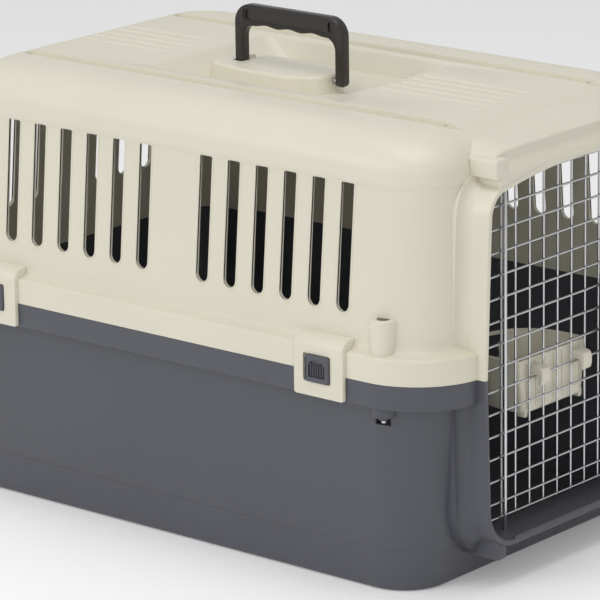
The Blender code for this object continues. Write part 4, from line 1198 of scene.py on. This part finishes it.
def button(name, x, side):
    low, high = (x - BUTTON_HALF_X, BUTTON_Z - BUTTON_HALF_Z), (x + BUTTON_HALF_X, BUTTON_Z + BUTTON_HALF_Z)
    face = prism(name, "XZ", round_box(low, high, 0.0030, 5), OUT + 0.0006, OUT + 0.0085, SLATE)
    made = soften(face, 0.0011, 3, 50)
    arch = [(x + 0.0110, BUTTON_Z - 0.0092)] + arc((x, BUTTON_Z + 0.0025), (0.0110, 0.0080), 0, 180, 14)
    arch.append((x - 0.0110, BUTTON_Z - 0.0092))
    arch = prism("arch", "XZ", arch, OUT + 0.0060, OUT + 0.02)
    slit = round_box((x - 0.0152, BUTTON_Z - 0.0120), (x - 0.0142, BUTTON_Z + 0.0120), 0.0004, 2)
    cut(made, arch, prism("slit", "XZ", slit, OUT + 0.0074, OUT + 0.02))
    rib = round_box((x - 0.0088, BUTTON_Z - 0.0084), (x - 0.0076, BUTTON_Z + 0.0060), 0.0004, 3)
    ribs = in_a_row(prism("rib", "XZ", rib, OUT + 0.0055, OUT + 0.0078), 6, (0.00328, 0, 0), SLATE)
    join(made, ribs)
    neck = (x - 0.010, OUT - 0.0050, SEAM_Z + 0.0035), (x + 0.010, OUT + 0.0015, SEAM_Z + 0.0170)
    keeper = (x - 0.016, OUT - 0.0060, SEAM_Z + 0.0020), (x + 0.016, OUT - 0.0036, SEAM_Z + 0.0190)
    join(made, block("neck", *neck), block("keeper", *keeper))
    if side < 0:
        bm = bmesh.new()
        bm.from_mesh(made.data)
        bmesh.ops.transform(bm, matrix=Matrix.Diagonal((1, -1, 1, 1)), verts=bm.verts)
        bmesh.ops.recalc_face_normals(bm, faces=bm.faces)
        bm.to_mesh(made.data)
        bm.free()
    return smooth(made)


buttons = {}
for end, x in zip(("front", "rear"), PLATES_X):
    for hand, side in (("right", -1), ("left", 1)):
        made = button(f"slide_button_{end}_{hand}", x, side)
        buttons[f"slider_{end}_{hand}"] = made
        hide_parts(f"latch_slider_{end}_{hand}")
print("slide buttons:", len(buttons))

# %% [markdown]
# ## Corner screws
# A cup-headed screw sits in each boss, with a hexagon socket, and a nut is held in a pocket under the
# flange. Both are turned and pressed parts, so they are bars with rounded edges and a hexagon cut or
# kept.

# %% Screws and nuts
screws, nuts = [], []
for end, x in zip(("front", "rear"), BOLTS_X):
    for hand, side in (("right", -1), ("left", 1)):
        y = side * BOLT_Y
        node = f"corner_bolt_{end}_{hand}"
        low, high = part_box(node)
        head = bar(node + "_skin", (x, y, high.z - 0.005), (x, y, high.z), 0.0062, STEEL, 36)
        soften(head, 0.0010, 3, 60)
        stem = bar("stem", (x, y, low.z), (x, y, high.z - 0.004), 0.0029, None, 20)
        key = bar("key", (x, y, high.z - 0.0025), (x, y, high.z + 0.01), 0.0028, None, 6)
        join(head, stem)
        screws.append(smooth(cut(head, key)))
        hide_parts(node)
        node = f"corner_nut_{end}_{hand}"
        low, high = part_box(node)
        nut = soften(bar(node + "_skin", (x, y, low.z), (x, y, high.z), 0.0060, SLATE, 6), 0.0004, 2, 50)
        nuts.append(smooth(cut(nut, bar("hole", (x, y, low.z - 0.01), (x, y, high.z + 0.01), 0.0031))))
        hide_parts(node)
print("screws:", len(screws), "nuts:", len(nuts))

# %% [markdown]
# ## The feeding bowl
# A cream cup with a straight wall against the door and a round wall towards the cabin. Its rim turns
# out, its front wall has upright ribs and two small feet, and two broad tabs hook over a level wire of
# the door.

# %% Bowl
BOWL_FRONT, BOWL_Y, BOWL_HALF, BOWL_DEPTH = 0.3445, 0.0015, 0.0635, 0.098
BOWL_LOW, BOWL_HIGH, BOWL_WALL = 0.1665, 0.2285, 0.0028


def bowl_ring(scale, inset, z):
    """A D with small round corners by the door."""
    half, depth, front = BOWL_HALF * scale - inset, BOWL_DEPTH * scale - inset, BOWL_FRONT - inset
    points = arc((front - 0.35 * depth, BOWL_Y), (0.65 * depth, half), 90, 270, 28)
    corner = max(0.006 - inset, 0.002)
    points += arc((front - corner, BOWL_Y - half + corner), corner, 270, 360, 5)
    points += arc((front - corner, BOWL_Y + half - corner), corner, 0, 90, 5)
    return [Vector((x, y, z)) for x, y in points]


def taper(z):
    return 0.86 + 0.14 * (z - BOWL_LOW) / (BOWL_HIGH - BOWL_LOW)


foot, rim_z = BOWL_LOW + 0.003, BOWL_HIGH - 0.0045
outer = [bowl_ring(0.86, 0.0030, BOWL_LOW), bowl_ring(0.86, 0.0010, BOWL_LOW + 0.0007)]
outer += [bowl_ring(taper(foot), 0.0, foot), bowl_ring(taper(rim_z), 0.0012, rim_z)]
for inward, down in ((0.0008, 0.0038), (0.0, 0.0030), (0.0, 0.0008), (0.0008, 0.0)):
    outer.append(bowl_ring(1.0, inward, BOWL_HIGH - down))
bowl = loft("feeding_bowl_skin", outer, CREAM)
floor_z = BOWL_LOW + BOWL_WALL
inner = [bowl_ring(0.86, 0.0068, floor_z), bowl_ring(0.86, 0.0040, floor_z + 0.001)]
inner.append(bowl_ring(taper(floor_z + 0.005), BOWL_WALL, floor_z + 0.005))
inner.append(bowl_ring(1.0, BOWL_WALL, BOWL_HIGH - 0.001))
inner += [bowl_ring(1.0, BOWL_WALL - 0.0008, z) for z in (BOWL_HIGH, BOWL_HIGH + 0.01)]
cut(bowl, loft("bowl_inside", inner))
low_y = BOWL_Y - 0.0480
rib = round_box((low_y - 0.0008, foot + 0.002), (low_y + 0.0008, rim_z - 0.001), 0.0006, 3)
rib = prism("bowl_rib", "YZ", rib, BOWL_FRONT - 0.0012, BOWL_FRONT + 0.0007)
join(bowl, in_a_row(rib, 7, (0, 0.0160, 0), CREAM))
for side in SIDES:
    near, far = sorted((BOWL_Y + side * 0.0470, BOWL_Y + side * 0.0530))
    shoe = round_box((near, BOWL_LOW - 0.004), (far, BOWL_LOW + 0.006), 0.0015, 4)
    join(bowl, soften(prism("bowl_foot", "YZ", shoe, 0.334, BOWL_FRONT), 0.0008, 2, 50))
WIRE_Z = FIRST_Z + 5 * ROW_STEP
hook = [(0.3425, 0.0018), (0.3562, 0.0018), (0.3573, 0.0008), (0.3573, -0.0084), (0.3585, -0.0092)]
hook += [(0.3600, -0.0092), (0.3612, -0.0078), (0.3623, -0.0026), (0.3623, 0.0054), (0.3605, 0.0094)]
hook += [(0.3570, 0.0115), (0.3425, 0.0115)]
for y in (-0.0351, 0.0411):
    made = prism("hook", "XZ", [(x, WIRE_Z + z) for x, z in hook], y - 0.008, y + 0.008)
    join(bowl, soften(made, 0.0010, 2, 50))
smooth(bowl)
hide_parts("feeding_bowl")
print("bowl:", len(bowl.data.polygons), "faces")

# %% [markdown]
# ## Riding
# Each piece is given the body it moves with. The table also lists the finish that each piece was made with.

# %% Hand over to the frame
RIDES = [("upper_body", "cream_plastic", [upper, vent_rims]), ("lower_body", "slate_plastic", [lower])]
RIDES += [("door", "zinc_wire", [door_wires, rods["door_hinge_rod"]]), ("door", "slate_plastic", [case])]
RIDES += [("door", "plated_steel", [coil]), ("upper_bolt", "zinc_wire", [rods["upper_latch_bolt"]])]
RIDES += [("upper_bolt", "slate_plastic", [upper_pull]), ("lower_bolt", "slate_plastic", [lower_pull])]
RIDES += [("lower_bolt", "zinc_wire", [rods["lower_latch_bolt"]]), ("bowl", "cream_plastic", [bowl])]
RIDES += [("carry_handle", "charcoal_plastic", [grip]), ("upper_body", "plated_steel", pins + screws)]
RIDES += [("lower_body", "slate_plastic", nuts)]
RIDES += [(body, "slate_plastic", [piece]) for body, piece in buttons.items()]
for body, slot_name, pieces in RIDES:
    for piece in pieces:
        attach(piece, body)
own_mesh(coil)
print("pieces:", sum(len(pieces) for _, _, pieces in RIDES))

# %% Measure and finish
visual_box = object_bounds()
{"cad": plain(cad_box), "visual": plain(visual_box)}
print("visual model's box:", plain(visual_box))
